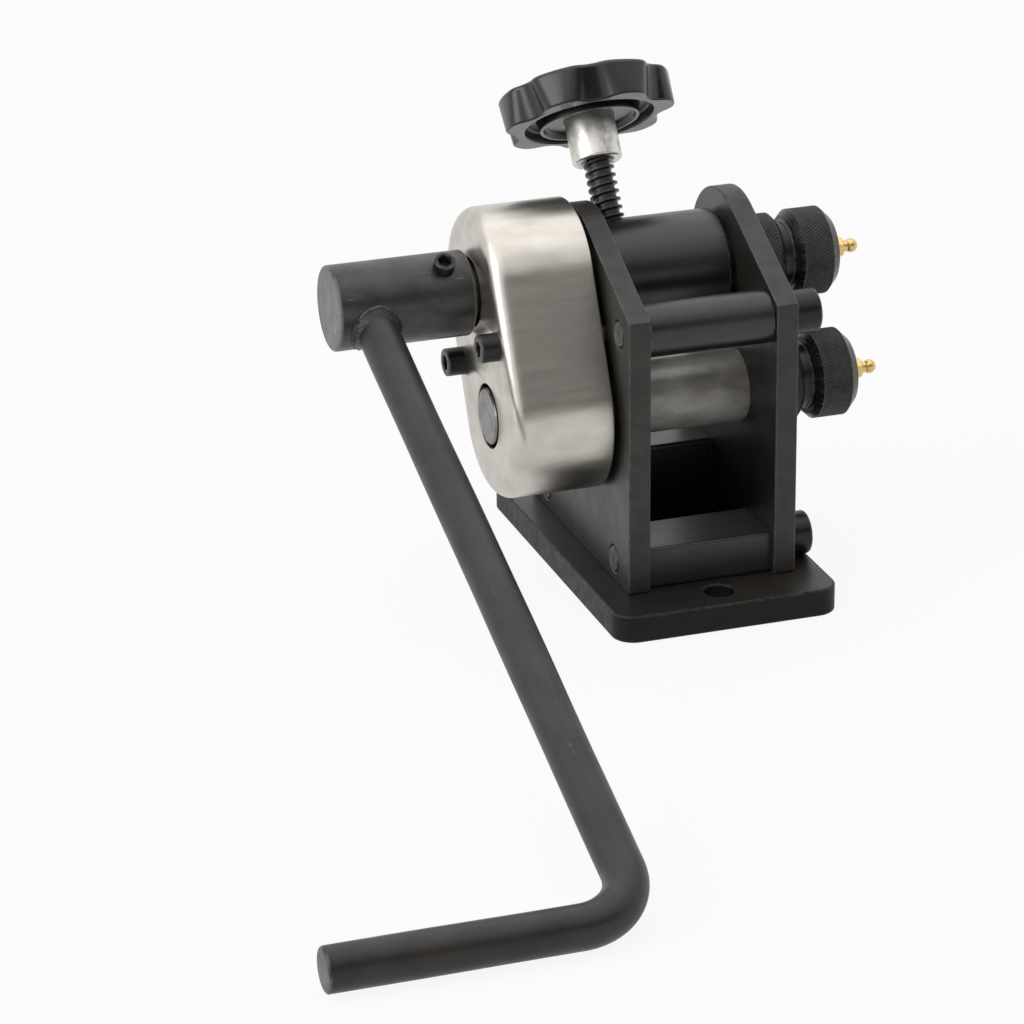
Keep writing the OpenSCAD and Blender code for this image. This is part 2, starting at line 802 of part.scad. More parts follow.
// Half the angle that a tooth takes up at radius r, in degrees.
function half_tooth(r) =
    90 / gear_teeth - tooth_play / 4 / pitch_r * 180 / PI
    + involute(pressure_angle) - involute(acos(min(1, base_r / r)));

// Outline of a gear with involute flanks and one tooth on the line at the given turn.
module gear_2d(turn) {
    radii = [for (i = [0 : flank_steps]) root_r + (tip_r - root_r) * i / flank_steps];
    polygon([
        for (t = [0 : gear_teeth - 1], side = [-1, 1], i = [0 : flank_steps])
            let (
                r = side < 0 ? radii[i] : radii[flank_steps - i],
                a = turn + t * tooth_step + side * half_tooth(r)
            )
            r * [cos(a), sin(a)]
    ]);
}

module gear(axis, turn) {
    across(-gear_x - gear_w, -gear_x) translate(axis) difference() {
        gear_2d(turn);
        circle(r = shaft_d / 2 + seat);
        translate([-key_s / 2 - seat, 0])
            square([key_s + 2 * seat, key_r + key_s + key_top_gap]);
    }
}

module drive_gear() { color("#4a4a4c") gear(upper_axis, -90 - axes_lean + tooth_step / 2); }

module driven_gear() { color("#4a4a4c") gear(lower_axis, 90 - axes_lean); }

module gear_key(axis) {
    translate([-key_x - key_len + seat, axis[0] - key_s / 2 + seat, axis[1] + key_r + seat])
        cube([key_len - 2 * seat, key_s - 2 * seat, key_s - 2 * seat]);
}

module drive_gear_key() { color("#77787a") gear_key(upper_axis); }

module driven_gear_key() { color("#77787a") gear_key(lower_axis); }

module thrust_washer(axis) {
    difference() {
        bar_x(-gear_x, -gear_x + thrust_washer_t, axis, washer_d / 2);
        bar_x(-gear_x - over, -gear_x + thrust_washer_t + over, axis, shaft_d / 2 + seat);
    }
}

module upper_thrust_washer() { color("#9a8a55") thrust_washer(upper_axis); }

module lower_thrust_washer() { color("#9a8a55") thrust_washer(lower_axis); }

// A spring ring, open at the front, that sits in the shaft's groove against the gear.
module retaining_ring(axis) {
    reach = washer_d;
    across(-ring_x - ring_t, -ring_x) translate(axis) difference() {
        circle(r = washer_d / 2);
        circle(r = shaft_d / 2 - ring_groove_depth + seat);
        polygon([
            [0, 0],
            reach * [-cos(ring_gap_turn), -sin(ring_gap_turn)],
            reach * [-cos(ring_gap_turn), sin(ring_gap_turn)]
        ]);
    }
}

module upper_retaining_ring() { color("#3c3d40") retaining_ring(upper_axis); }

module lower_retaining_ring() { color("#3c3d40") retaining_ring(lower_axis); }

// The crank hub: a blind bush on the upper shaft's end.
module crank_hub() {
    color("#333230") difference() {
        union() {
            on_axis(-hub_end_x, upper_axis)
                cylinder(h = hub_edge, d1 = hub_d - 2 * hub_edge, d2 = hub_d);
            bar_x(-hub_end_x + hub_edge, -hub_x, upper_axis, hub_d / 2);
        }
        bar_x(-hub_end_x + hub_end_t, -hub_x + over, upper_axis, shaft_d / 2 + seat);
        translate([-hub_screw_x, upper_axis[0], upper_axis[1]])
            rotate([hub_screw_turn, 0, 0]) cylinder(h = hub_d, d = small_screw_d + 2 * seat);
    }
}

module hub_set_screw() {
    seat_r = shaft_d / 2 + seat;
    len = hub_d / 2 + hub_screw_proud - seat_r;
    color("#1f2022") translate([-hub_screw_x, upper_axis[0], upper_axis[1]])
        rotate([hub_screw_turn, 0, 0]) translate([0, 0, seat_r]) difference() {
            cylinder(h = len, d = small_screw_d);
            translate([0, 0, len]) hex_hole(small_socket_share * small_screw_d, hub_screw_proud);
        }
}

// The crank's own frame: Z runs down the arm from the hub's axis, and -X along the grip.
module along_arm() {
    translate([-arm_x, upper_axis[0], upper_axis[1]]) rotate([90 + arm_drop, 0, 0]) children();
}

// A bent round bar with its weld, cut to sit on the hub.
module crank_handle() {
    weld_foot_r = bar_r + weld_w;
    weld_foot = sqrt(pow(hub_d / 2, 2) - pow(weld_foot_r, 2));
    weld_top = hub_d / 2 + weld_w;
    color("#33302d") difference() {
        along_arm() {
            cylinder(h = arm_len - bend_r, r = bar_r);
            translate([0, 0, weld_foot])
                cylinder(h = weld_top - weld_foot, r1 = weld_foot_r + weld_w / 4, r2 = bar_r);
            translate([-bend_r, 0, arm_len - bend_r]) rotate([90, 0, 0])
                rotate_extrude(angle = 90) translate([bend_r, 0]) circle(r = bar_r);
            translate([-bend_r, 0, arm_len]) rotate([0, -90, 0]) {
                cylinder(h = grip_len - bend_r - bar_chamfer, r = bar_r);
                translate([0, 0, grip_len - bend_r - bar_chamfer])
                    cylinder(h = bar_chamfer, r1 = bar_r, r2 = bar_r - bar_chamfer);
            }
        }
        bar_x(-hub_end_x - hub_d, -hub_x + hub_d, upper_axis, hub_d / 2 + seat);
    }
}

// A grease nipple: thread, hexagon, cone and ball.
module grease_nipple(axis) {
    ball_r = nipple_af * 0.42;
    neck_r = nipple_af * 0.3;
    ball_c = nipple_len - ball_r;
    on_axis(spigot_end_x, axis) difference() {
        union() {
            translate([0, 0, -nipple_thread_len]) cylinder(h = nipple_thread_len, d = nipple_thread_d);
            cylinder(h = nipple_hex_len, r = nipple_af / 2 / cos(180 / 6), $fn = 6);
            translate([0, 0, nipple_hex_len]) cylinder(h = ball_c - nipple_hex_len, r = neck_r);
            translate([0, 0, ball_c]) sphere(r = ball_r, $fn = 32);
        }
        translate([0, 0, -nipple_thread_len - over])
            cylinder(h = nipple_thread_len + nipple_len + 2 * over, d = drilling_d / 2);
    }
}

module upper_grease_nipple() { color("#c79a4b") grease_nipple(upper_axis); }

module lower_grease_nipple() { color("#c79a4b") grease_nipple(lower_axis); }

base_plate();
left_side_plate();
right_side_plate();
plate_screws();
front_spacer_block();
rear_spacer_block();
spacer_bolts();
tie_tube();
tie_bolt();
lower_bearing_tube();
upper_housing_tube();
gear_cover();
cover_spacers();
cover_screws();
upper_bearing_sleeve();
adjusting_screw();
screw_collar();
adjusting_knob();
upper_shaft();
upper_roller();
upper_roller_screw();
drive_gear();
drive_gear_key();
upper_thrust_washer();
upper_retaining_ring();
crank_hub();
hub_set_screw();
crank_handle();
upper_grease_nipple();
lower_shaft();
lower_roller();
lower_roller_screw();
driven_gear();
driven_gear_key();
lower_thrust_washer();
lower_retaining_ring();
lower_grease_nipple();
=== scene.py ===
"""The looks of a manual roll bender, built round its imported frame.

X runs along the shafts towards the rollers, Y away from the operator and Z up. Lengths are in
millimetres until a mesh is made. Every new piece is a surface worked out with numpy: a profile
turned about an axis, an outline carried through a slab's thickness, or a section carried along
a path.
"""

import json
import logging
import math
from collections.abc import Callable, Sequence
from dataclasses import dataclass
from enum import Enum

import bmesh
import bpy
import numpy as np
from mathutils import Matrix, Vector
from mathutils.geometry import tessellate_polygon


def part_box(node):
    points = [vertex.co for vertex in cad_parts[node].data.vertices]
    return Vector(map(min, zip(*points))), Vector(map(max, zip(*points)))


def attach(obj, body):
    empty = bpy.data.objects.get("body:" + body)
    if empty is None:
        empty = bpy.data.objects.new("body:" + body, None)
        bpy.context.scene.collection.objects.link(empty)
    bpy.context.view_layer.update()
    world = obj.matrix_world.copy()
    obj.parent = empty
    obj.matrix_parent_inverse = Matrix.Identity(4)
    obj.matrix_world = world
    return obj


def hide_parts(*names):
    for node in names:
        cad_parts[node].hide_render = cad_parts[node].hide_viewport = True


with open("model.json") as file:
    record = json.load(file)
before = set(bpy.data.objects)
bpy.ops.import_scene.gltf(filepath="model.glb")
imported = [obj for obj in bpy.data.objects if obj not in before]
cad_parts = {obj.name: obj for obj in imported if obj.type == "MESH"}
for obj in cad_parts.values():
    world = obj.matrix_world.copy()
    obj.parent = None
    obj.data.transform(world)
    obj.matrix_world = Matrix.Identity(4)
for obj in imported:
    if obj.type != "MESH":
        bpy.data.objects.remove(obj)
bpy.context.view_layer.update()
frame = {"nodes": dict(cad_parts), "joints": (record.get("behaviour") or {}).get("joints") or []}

LOG = logging.getLogger("roll_bender")
MM = 0.001
TAU = 2 * math.pi

# Distance of the support line that keeps a flat face flat beside a rounded edge
GUARD = 0.12
# Points closer than this are one point
MERGE = 0.002
# Edges that bend more than this are shaded sharp
SHARP_TURN = math.radians(38)
# Outlines up to this fillet radius count as worn edges
WORN_RADIUS = 1.0
# Steps of a rounding: at least this many, and this many for each millimetre of its radius
ARC_STEPS_LEAST, ARC_STEPS_PER_MM = 4, 1.6
# Steps of the quarter circle along a slab's rounded edge
BEVEL_STEPS = 5
# Keeps a division from zero
TINY = 1e-9

# Sockets of the Mix node in its colour mode
MIX_A, MIX_B, MIX_RESULT = 6, 7, 2
# Strength of each finer octave of noise beside the one before
OCTAVE_SHARE = 0.6
WHITE = (1.0, 1.0, 1.0, 1.0)


class Section(Enum):
    """The form of a turned piece's cross section."""

    ROUND = "round"
    HEXAGON = "hexagon"
    SLOT = "slot"


class Coordinates(Enum):
    """Where a finish reads its place from."""

    OBJECT = "object"
    GRAIN = "grain"


class Join(Enum):
    """How patterns become one: where all of them are, where any of them is, or heaped up."""

    BOTH = "MULTIPLY"
    EITHER = "MAXIMUM"
    SUM = "ADD"


class Body(Enum):
    """The bodies of the frame that pieces ride on."""

    FRAME = "frame"
    ADJUSTER = "adjuster"
    DRIVE = "drive_shaft"
    DRIVEN = "driven_shaft"


def linear(colour: str) -> tuple[float, float, float, float]:
    """Turns an sRGB hex colour into linear RGBA.

    Args:
        colour: Six hex digits after a hash sign.

    Returns:
        Red, green, blue and an alpha of one.
    """
    values = [int(colour[i : i + 2], 16) / 255 for i in (1, 3, 5)]
    red, green, blue = (v / 12.92 if v <= 0.04045 else ((v + 0.055) / 1.055) ** 2.4 for v in values)
    return red, green, blue, 1.0


def full_turn(count: int) -> np.ndarray:
    """Equal steps of one turn in radians, without its end."""
    return np.linspace(0, TAU, count, endpoint=False)


def quarter_turn(count: int) -> np.ndarray:
    """Equal steps of a quarter turn in radians, with its end."""
    return np.linspace(0, math.pi / 2, count)


def polar(turn: np.ndarray, radius: np.ndarray | float) -> np.ndarray:
    """Points (x, y) at turns and radii about the origin."""
    return np.asarray(radius)[..., None] * np.stack([np.cos(turn), np.sin(turn)], axis=-1)


def node_points(node: str) -> np.ndarray:
    """The vertices of a node of the frame, in millimetres."""
    mesh = frame["nodes"][node].data
    places = np.empty(len(mesh.vertices) * 3)
    mesh.vertices.foreach_get("co", places)
    return places.reshape(-1, 3) / MM


def corners(node: str) -> tuple[np.ndarray, np.ndarray]:
    """The lowest and the highest corner of a node of the frame, in millimetres."""
    low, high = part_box(node)
    return np.array(low) / MM, np.array(high) / MM


def middle(node: str) -> np.ndarray:
    """The middle of a node's box, in millimetres."""
    low, high = corners(node)
    return (low + high) / 2


def box_radius(node: str) -> float:
    """The radius of a round node that lies along X, in millimetres."""
    low, high = corners(node)
    return (high[1] - low[1]) / 2


@dataclass(frozen=True)
class Axis:
    """A straight line about which pieces are turned.

    Attributes:
        origin: A point on the line.
        direction: The line's direction, of length one.
    """

    origin: tuple[float, float, float]
    direction: tuple[float, float, float]

    @property
    def sides(self) -> tuple[np.ndarray, np.ndarray, np.ndarray]:
        """The direction and two directions square to it, right-handed."""
        along = np.array(self.direction)
        across = np.array([1.0, 0.0, 0.0]) if abs(along[0]) < 0.5 else np.array([0.0, 1.0, 0.0])
        return along, across, np.cross(along, across)

    def place(self, s: np.ndarray, a: np.ndarray, b: np.ndarray) -> np.ndarray:
        """Points at s along the line and a and b to its sides, as arrays that broadcast."""
        s, a, b = np.broadcast_arrays(s, a, b)
        along, across, up = self.sides
        return np.array(self.origin) + s[..., None] * along + a[..., None] * across + b[..., None] * up

    def reach(self, node: str) -> tuple[float, float]:
        """How far a node of the frame reaches along the line, lowest and highest."""
        s = (node_points(node) - np.array(self.origin)) @ np.array(self.direction)
        return float(s.min()), float(s.max())

    def radius(self, node: str) -> float:
        """The greatest distance of a node of the frame from the line."""
        offset = node_points(node) - np.array(self.origin)
        along = np.array(self.direction)
        return float(np.linalg.norm(offset - np.outer(offset @ along, along), axis=1).max())


def rounded(outline: Sequence[Sequence[float]], closed: bool = False) -> np.ndarray:
    """Rounds the corners of an outline with arcs that touch both sides.

    Args:
        outline: Corners as (x, y, radius). A radius of zero leaves the corner sharp.
        closed: Whether the last corner joins the first.

    Returns:
        Rows of (x, y, wear), where wear is one along a small rounding.
    """
    rows: list[np.ndarray] = []
    count = len(outline)
    for i, (x, y, radius) in enumerate(outline):
        here = np.array([x, y])
        if radius <= 0 or (not closed and i in (0, count - 1)):
            rows.append(np.array([[x, y, 0.0]]))
            continue
        back = np.array(outline[i - 1][:2]) - here
        ahead = np.array(outline[(i + 1) % count][:2]) - here
        back, ahead = back / np.linalg.norm(back), ahead / np.linalg.norm(ahead)
        half = math.acos(float(np.clip(back @ ahead, -1, 1))) / 2
        centre = here + (back + ahead) / np.linalg.norm(back + ahead) * radius / math.sin(half)
        start, end = here + back * radius / math.tan(half), here + ahead * radius / math.tan(half)
        first = math.atan2(*(start - centre)[::-1])
        sweep = (math.atan2(*(end - centre)[::-1]) - first + math.pi) % TAU - math.pi
        steps = max(ARC_STEPS_LEAST, math.ceil(radius * ARC_STEPS_PER_MM))
        turn = first + sweep * np.linspace(0, 1, steps + 1)
        arc = centre + polar(turn, radius)
        guard = min(GUARD, radius / 4)
        points = np.vstack([start + back * guard, arc, end + ahead * guard])
        wear = np.zeros(len(points))
        wear[1:-1] = radius <= WORN_RADIUS
        rows.append(np.column_stack([points, wear]))
    return np.vstack(rows)


def circle(centre: Sequence[float], radius: float, count: int = 64) -> np.ndarray:
    """A clockwise loop of (x, y) round a hole."""
    return np.array(centre) + polar(-full_turn(count), radius)


def slot_reach(turn: np.ndarray, radius: float, travel: float, lean: float) -> np.ndarray:
    """Distance from a slot's middle to its wall, for each turn.

    A slot is a circle that has slid travel each way along the direction lean. Straight walls
    lie radius away from that direction, and the ends are circles about its two limits.
    """
    along, across = np.abs(np.cos(turn - lean)), np.abs(np.sin(turn - lean))
    straight = radius / np.maximum(across, TINY)
    round_end = travel * along + np.sqrt(np.maximum(radius**2 - (travel * across) ** 2, 0))
    return np.where(straight * along <= travel, straight, round_end)


def inset(loop: np.ndarray, depth: float) -> np.ndarray:
    """Moves a closed loop inwards, into the material, by depth, with its corners mitred."""
    ahead = np.roll(loop, -1, axis=0) - loop
    ahead /= np.linalg.norm(ahead, axis=1, keepdims=True)
    outward = np.stack([ahead[:, 1], -ahead[:, 0]], axis=1)
    before = np.roll(outward, 1, axis=0)
    mitre = (outward + before) / (1 + np.sum(outward * before, axis=1, keepdims=True))
    return loop - depth * mitre


def rectangle(low: Sequence[float], high: Sequence[float], radius: float) -> np.ndarray:
    """A counter-clockwise rectangle of (x, y) points, with rounded corners."""
    return rounded([(low[0], low[1], radius), (high[0], low[1], radius), (high[0], high[1], radius),
                    (low[0], high[1], radius)], closed=True)[:, :2]


def placed(name: str, data: bpy.types.ID) -> bpy.types.Object:
    """Makes an object of a mesh, a lamp or a camera and links it to the scene."""
    obj = bpy.data.objects.new(name, data)
    bpy.context.scene.collection.objects.link(obj)
    return obj


class Shell:
    """Grids and flat faces gathered into one closed mesh, in millimetres."""

    def __init__(self) -> None:
        """Starts an empty shell."""
        self.points: list[np.ndarray] = []
        self.grain: list[np.ndarray] = []
        self.wear: list[np.ndarray] = []
        self.faces: list[np.ndarray] = []
        self.slots: list[np.ndarray] = []
        self.count = 0

    def _gather(self, points: np.ndarray, grain: np.ndarray | None, wear: np.ndarray | float) -> int:
        """Keeps flat lists of points with their grain and wear, and returns the first one's number."""
        first = self.count
        self.points.append(points.reshape(-1, 3))
        self.grain.append((points if grain is None else grain).reshape(-1, 3))
        self.wear.append(np.broadcast_to(wear, points.shape[:-1]).reshape(-1).astype(float))
        self.count += points[..., 0].size
        return first

    def grid(self, points: np.ndarray, grain: np.ndarray | None = None, wear: np.ndarray | float = 0.0,
             slot: int = 0, closed: bool = False) -> None:
        """Adds a sheet of quads over rows and columns of points, where each row is a ring.

        Args:
            points: Places, as (rows, columns, 3).
            grain: The same points in the piece's own directions, for its finish.
            wear: How worn the points are, from 0 to 1, in a form that broadcasts to them.
            slot: Which of the piece's finishes the sheet has.
            closed: Whether the last row joins the first.
        """
        rows, columns = points.shape[:2]
        number = self._gather(points, grain, wear) + np.arange(rows * columns).reshape(rows, columns)
        number = np.concatenate([number, number[:, :1]], axis=1)
        if closed:
            number = np.concatenate([number, number[:1]], axis=0)
        quads = np.stack([number[:-1, :-1], number[:-1, 1:], number[1:, 1:], number[1:, :-1]], axis=-1)
        self.faces.append(quads.reshape(-1, 4))
        self.slots.append(np.full(quads.shape[0] * quads.shape[1], slot))

    def loft(self, axis: Axis, s: np.ndarray | float, loops: np.ndarray, wear: np.ndarray | float = 0.0,
             slot: int = 0) -> None:
        """Adds a sheet through flat loops that stand square to an axis.

        Args:
            axis: The line that the loops go round.
            s: How far along the line each loop is, as a column.
            loops: The points of each loop beside the line, as (loops, points, 2).
            wear: How worn the points are.
            slot: Which of the piece's finishes the sheet has.
        """
        s = np.broadcast_to(s, loops.shape[:2])
        points = axis.place(s, loops[..., 0], loops[..., 1])
        self.grid(points, np.concatenate([s[..., None], loops], axis=-1), wear, slot)

    def face(self, loops: Sequence[np.ndarray], place: Callable[[np.ndarray], np.ndarray]) -> None:
        """Fills a flat outline with holes.

        Args:
            loops: The outline and then its holes, as (x, y) points.
            place: Lays flat points in space.
        """
        flat = [[Vector((float(x), float(y), 0.0)) for x, y in loop] for loop in loops]
        triangles = np.array(tessellate_polygon(flat))
        first = self._gather(place(np.vstack(loops)), None, 0.0)
        self.faces.append(triangles + first)
        self.slots.append(np.full(len(triangles), 0))

    def turn(self, axis: Axis, rows: np.ndarray, sections: Sequence[Section] | Section = Section.ROUND,
             sides: int = 96, travel: float = 0.0, lean: float = 0.0) -> None:
        """Turns a profile about an axis: point (s, r) becomes a ring of radius r at s.

        Args:
            axis: The line to turn about.
            rows: The profile as (s, r, wear). A hexagon's r is half its width across flats.
            sections: The form of each ring, or of all of them.
            sides: Points in a ring, a multiple of 12, so that hexagons keep their corners.
            travel: How far a slot section is drawn out each way.
            lean: The direction in which it is drawn out, in radians.
        """
        turn = full_turn(sides)
        sixth = TAU / 6
        hexagon = 1 / np.cos((turn + sixth / 2) % sixth - sixth / 2)
        forms = [sections] * len(rows) if isinstance(sections, Section) else sections
        rings = []
        for (_, radius, _), form in zip(rows, forms, strict=True):
            if form is Section.HEXAGON:
                rings.append(radius * hexagon)
            elif form is Section.SLOT:
                rings.append(slot_reach(turn, radius, travel, lean))
            else:
                rings.append(np.full(sides, radius))
        self.loft(axis, rows[:, :1], polar(turn, np.array(rings)), rows[:, 2:3])

    def slab(self, loops: Sequence[np.ndarray], low: float, high: float, bevel: float,
             place: Callable[[np.ndarray, float], np.ndarray], wall_slot: int = 0) -> None:
        """Builds a flat slab with holes and rounded edges.

        Each loop is carried from the low face to the high one. Over the last bevel of the way
        it draws in along a quarter circle, and both faces are filled between the loops.

        Args:
            loops: The outline, counter-clockwise, and then its holes, clockwise.
            low: Height of the low face.
            high: Height of the high face.
            bevel: Radius of the rounded edges.
            place: Lays flat points at a height in space.
            wall_slot: Which of the piece's finishes the walls have.
        """
        turn = quarter_turn(BEVEL_STEPS)
        draw = np.concatenate([[bevel + GUARD], bevel * (1 - np.sin(turn)), [0.0]])
        rise = np.concatenate([[0.0], bevel * (1 - np.cos(turn)), [bevel + GUARD]])
        worn = np.concatenate([[0.0], np.ones(len(turn)), [0.0]])
        draws = np.concatenate([draw, draw[::-1]])
        heights = np.concatenate([low + rise, high - rise[::-1]])
        wear = np.concatenate([worn, worn[::-1]])
        for loop in loops:
            rings = np.array([place(inset(loop, d), h) for d, h in zip(draws, heights, strict=True)])
            self.grid(rings, wear=wear[:, None], slot=wall_slot)
        ends = [inset(loop, draws[0]) for loop in loops]
        for height in (low, high):
            self.face(ends, lambda flat, h=height: place(flat, h))

    def piece(self, name: str, body: Body, finishes: Sequence["Finish"],
              replaces: Sequence[str] = ()) -> None:
        """Makes the gathered surface one object, on its body and with its finishes.

        Args:
            name: The piece's name.
            body: The body that it rides on.
            finishes: Its finishes, in the order of the slot numbers.
            replaces: The nodes of the frame that it stands for.
        """
        mesh = bpy.data.meshes.new(name)
        faces = [face for block in self.faces for face in block.tolist()]
        mesh.from_pydata(np.vstack(self.points) * MM, [], faces)
        mesh.polygons.foreach_set("material_index", np.concatenate(self.slots).astype(np.int32))
        grain = mesh.attributes.new("grain", "FLOAT_VECTOR", "POINT")
        grain.data.foreach_set("vector", np.vstack(self.grain).astype(np.float32).ravel())
        wear = mesh.attributes.new("wear", "FLOAT", "POINT")
        wear.data.foreach_set("value", np.concatenate(self.wear).astype(np.float32))
        work = bmesh.new()
        work.from_mesh(mesh)
        bmesh.ops.remove_doubles(work, verts=work.verts, dist=MERGE * MM)
        bmesh.ops.recalc_face_normals(work, faces=work.faces)
        work.to_mesh(mesh)
        work.free()
        mesh.polygons.foreach_set("use_smooth", np.ones(len(mesh.polygons), bool))
        mesh.set_sharp_from_angle(angle=SHARP_TURN)
        for finish in finishes:
            mesh.materials.append(finish.material(Coordinates.GRAIN))
        obj = placed(name, mesh)
        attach(obj, body.value)
        if replaces:
            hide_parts(*replaces)
        LOG.info("%s: %d faces on %s", name, len(mesh.polygons), body.value)

    def stand_for(self, node: str, body: Body, *finishes: "Finish") -> None:
        """Makes the gathered surface the finished piece that stands for a node of the frame."""
        self.piece(f"{node}_finished", body, finishes, (node,))


Link = bpy.types.NodeSocket | float | str | tuple


def add(tree: bpy.types.NodeTree, kind: str, links: dict[int | str, Link] | None = None,
        **settings: object) -> bpy.types.Node:
    """Adds a node with its settings and links.

    Args:
        tree: The node tree.
        kind: The node's type, after ShaderNode.
        links: For each input, the socket that feeds it or its value.
        settings: The node's own properties.

    Returns:
        The new node.
    """
    node = tree.nodes.new("ShaderNode" + kind)
    for name, value in settings.items():
        setattr(node, name, value)
    for name, value in (links or {}).items():
        if isinstance(value, bpy.types.NodeSocket):
            tree.links.new(value, node.inputs[name])
        else:
            node.inputs[name].default_value = value
    return node


def empty_tree(owner: bpy.types.Material | bpy.types.World) -> bpy.types.NodeTree:
    """Switches a material or a world to nodes and returns its emptied tree."""
    owner.use_nodes = True
    owner.node_tree.nodes.clear()
    return owner.node_tree


@dataclass(frozen=True)
class Finish:
    """What all finishes share: a name, the record's slot and a place to read."""

    name: str
    slot: str

    def material(self, coordinates: Coordinates) -> bpy.types.Material:
        """The finish as a material, made once for each kind of coordinates."""
        name = f"{self.name}_{coordinates.value}"
        found = bpy.data.materials.get(name)
        if found:
            return found
        made = bpy.data.materials.new(name)
        tree = empty_tree(made)
        if coordinates is Coordinates.GRAIN:
            place = add(tree, "Attribute", attribute_name="grain").outputs["Vector"]
        else:
            place = add(tree, "Mapping", {
                "Vector": add(tree, "TexCoord").outputs["Object"],
                "Scale": (1 / MM, 1 / MM, 1 / MM),
            }).outputs["Vector"]
        shader = self.shade(tree, place)
        add(tree, "OutputMaterial", {"Surface": shader})
        return made

    def shade(self, tree: bpy.types.NodeTree, place: bpy.types.NodeSocket) -> bpy.types.NodeSocket:
        """Builds the shader from a place in millimetres, and returns its socket."""
        raise NotImplementedError


def noise(tree: bpy.types.NodeTree, place: bpy.types.NodeSocket, size: Sequence[float], low: float,
          high: float, detail: float = 3.0) -> bpy.types.NodeSocket:
    """Noise of a real size, spread so that low to high becomes 0 to 1.

    Args:
        tree: The node tree.
        place: A place in millimetres.
        size: The size of a patch along the first direction and across it, in millimetres.
        low: The noise value that becomes zero.
        high: The noise value that becomes one.
        detail: Octaves of finer noise.

    Returns:
        The socket of the spread noise.
    """
    along, across = size
    scaled = add(tree, "Mapping", {"Vector": place, "Scale": (1 / along, 1 / across, 1 / across)})
    cloud = add(tree, "TexNoise", {"Vector": scaled.outputs["Vector"], "Scale": 1.0, "Detail": detail,
                                   "Roughness": OCTAVE_SHARE})
    spread = add(tree, "MapRange", {"Value": cloud.outputs["Fac"], "From Min": low, "From Max": high})
    return spread.outputs["Result"]


def joined(tree: bpy.types.NodeTree, how: Join, *patterns: Link) -> bpy.types.NodeSocket:
    """Joins patterns and plain values into one pattern, from the first to the last.

    Args:
        tree: The node tree.
        how: Where the new pattern is.
        patterns: The patterns, whose values run from 0 to 1.

    Returns:
        The socket of the new pattern.
    """
    result = patterns[0]
    for pattern in patterns[1:]:
        result = add(tree, "Math", {0: result, 1: pattern}, operation=how.value).outputs["Value"]
    return result


def scratches(tree: bpy.types.NodeTree, place: bpy.types.NodeSocket, size: Sequence[float],
              core: tuple[float, float], rare: tuple[float, float]) -> bpy.types.NodeSocket:
    """Short straight scratches: the cores of long cells, in only a few of the cells.

    Args:
        tree: The node tree.
        place: A place in millimetres.
        size: Length and width of a cell, in millimetres.
        core: Distance from a cell's middle where its scratch ends, and where it is full.
        rare: A cell's own random value where its scratch begins to show, and where it is full.

    Returns:
        The socket of the pattern.
    """
    along, across = size
    scaled = add(tree, "Mapping", {"Vector": place, "Scale": (1 / along, 1 / across, 1 / across)})
    cells = add(tree, "TexVoronoi", {"Vector": scaled.outputs["Vector"], "Scale": 1.0})
    kept = [add(tree, "MapRange", {"Value": cells.outputs[name], "From Min": low, "From Max": high})
            for name, (low, high) in (("Distance", core), ("Color", rare))]
    return joined(tree, Join.BOTH, *(node.outputs["Result"] for node in kept))


def painted(tree: bpy.types.NodeTree, base: str, *coats: tuple[str, Link]) -> Link:
    """A base colour under coats of other colours.

    Args:
        tree: The node tree.
        base: The colour underneath, in hex.
        coats: From the lowest to the highest, each coat's colour in hex and how far it covers.

    Returns:
        The socket of the colour.
    """
    colour: Link = linear(base)
    for over, cover in coats:
        mix = add(tree, "Mix", {0: cover, MIX_A: colour, MIX_B: linear(over)}, data_type="RGBA")
        colour = mix.outputs[MIX_RESULT]
    return colour


def surface(tree: bpy.types.NodeTree, colour: Link, dull: Link, roughness: tuple[float, float],
            height: Link, relief: float, more: dict[int | str, Link]) -> bpy.types.NodeSocket:
    """The shader of a surface whose roughness follows one pattern and its relief another.

    Args:
        tree: The node tree.
        colour: The surface's colour.
        dull: The pattern that the roughness follows.
        roughness: Roughness where that pattern is zero, and where it is one.
        height: The pattern that the relief follows.
        relief: Height of the relief, in millimetres.
        more: Other inputs of the shader.

    Returns:
        The shader's socket.
    """
    low, high = roughness
    rough = add(tree, "MapRange", {"Value": dull, "To Min": low, "To Max": high})
    bump = add(tree, "Bump", {"Height": height, "Strength": 1.0, "Distance": relief * MM})
    return add(tree, "BsdfPrincipled", {
        "Base Color": colour, "Roughness": rough.outputs["Result"], "Normal": bump.outputs["Normal"], **more,
    }).outputs["BSDF"]


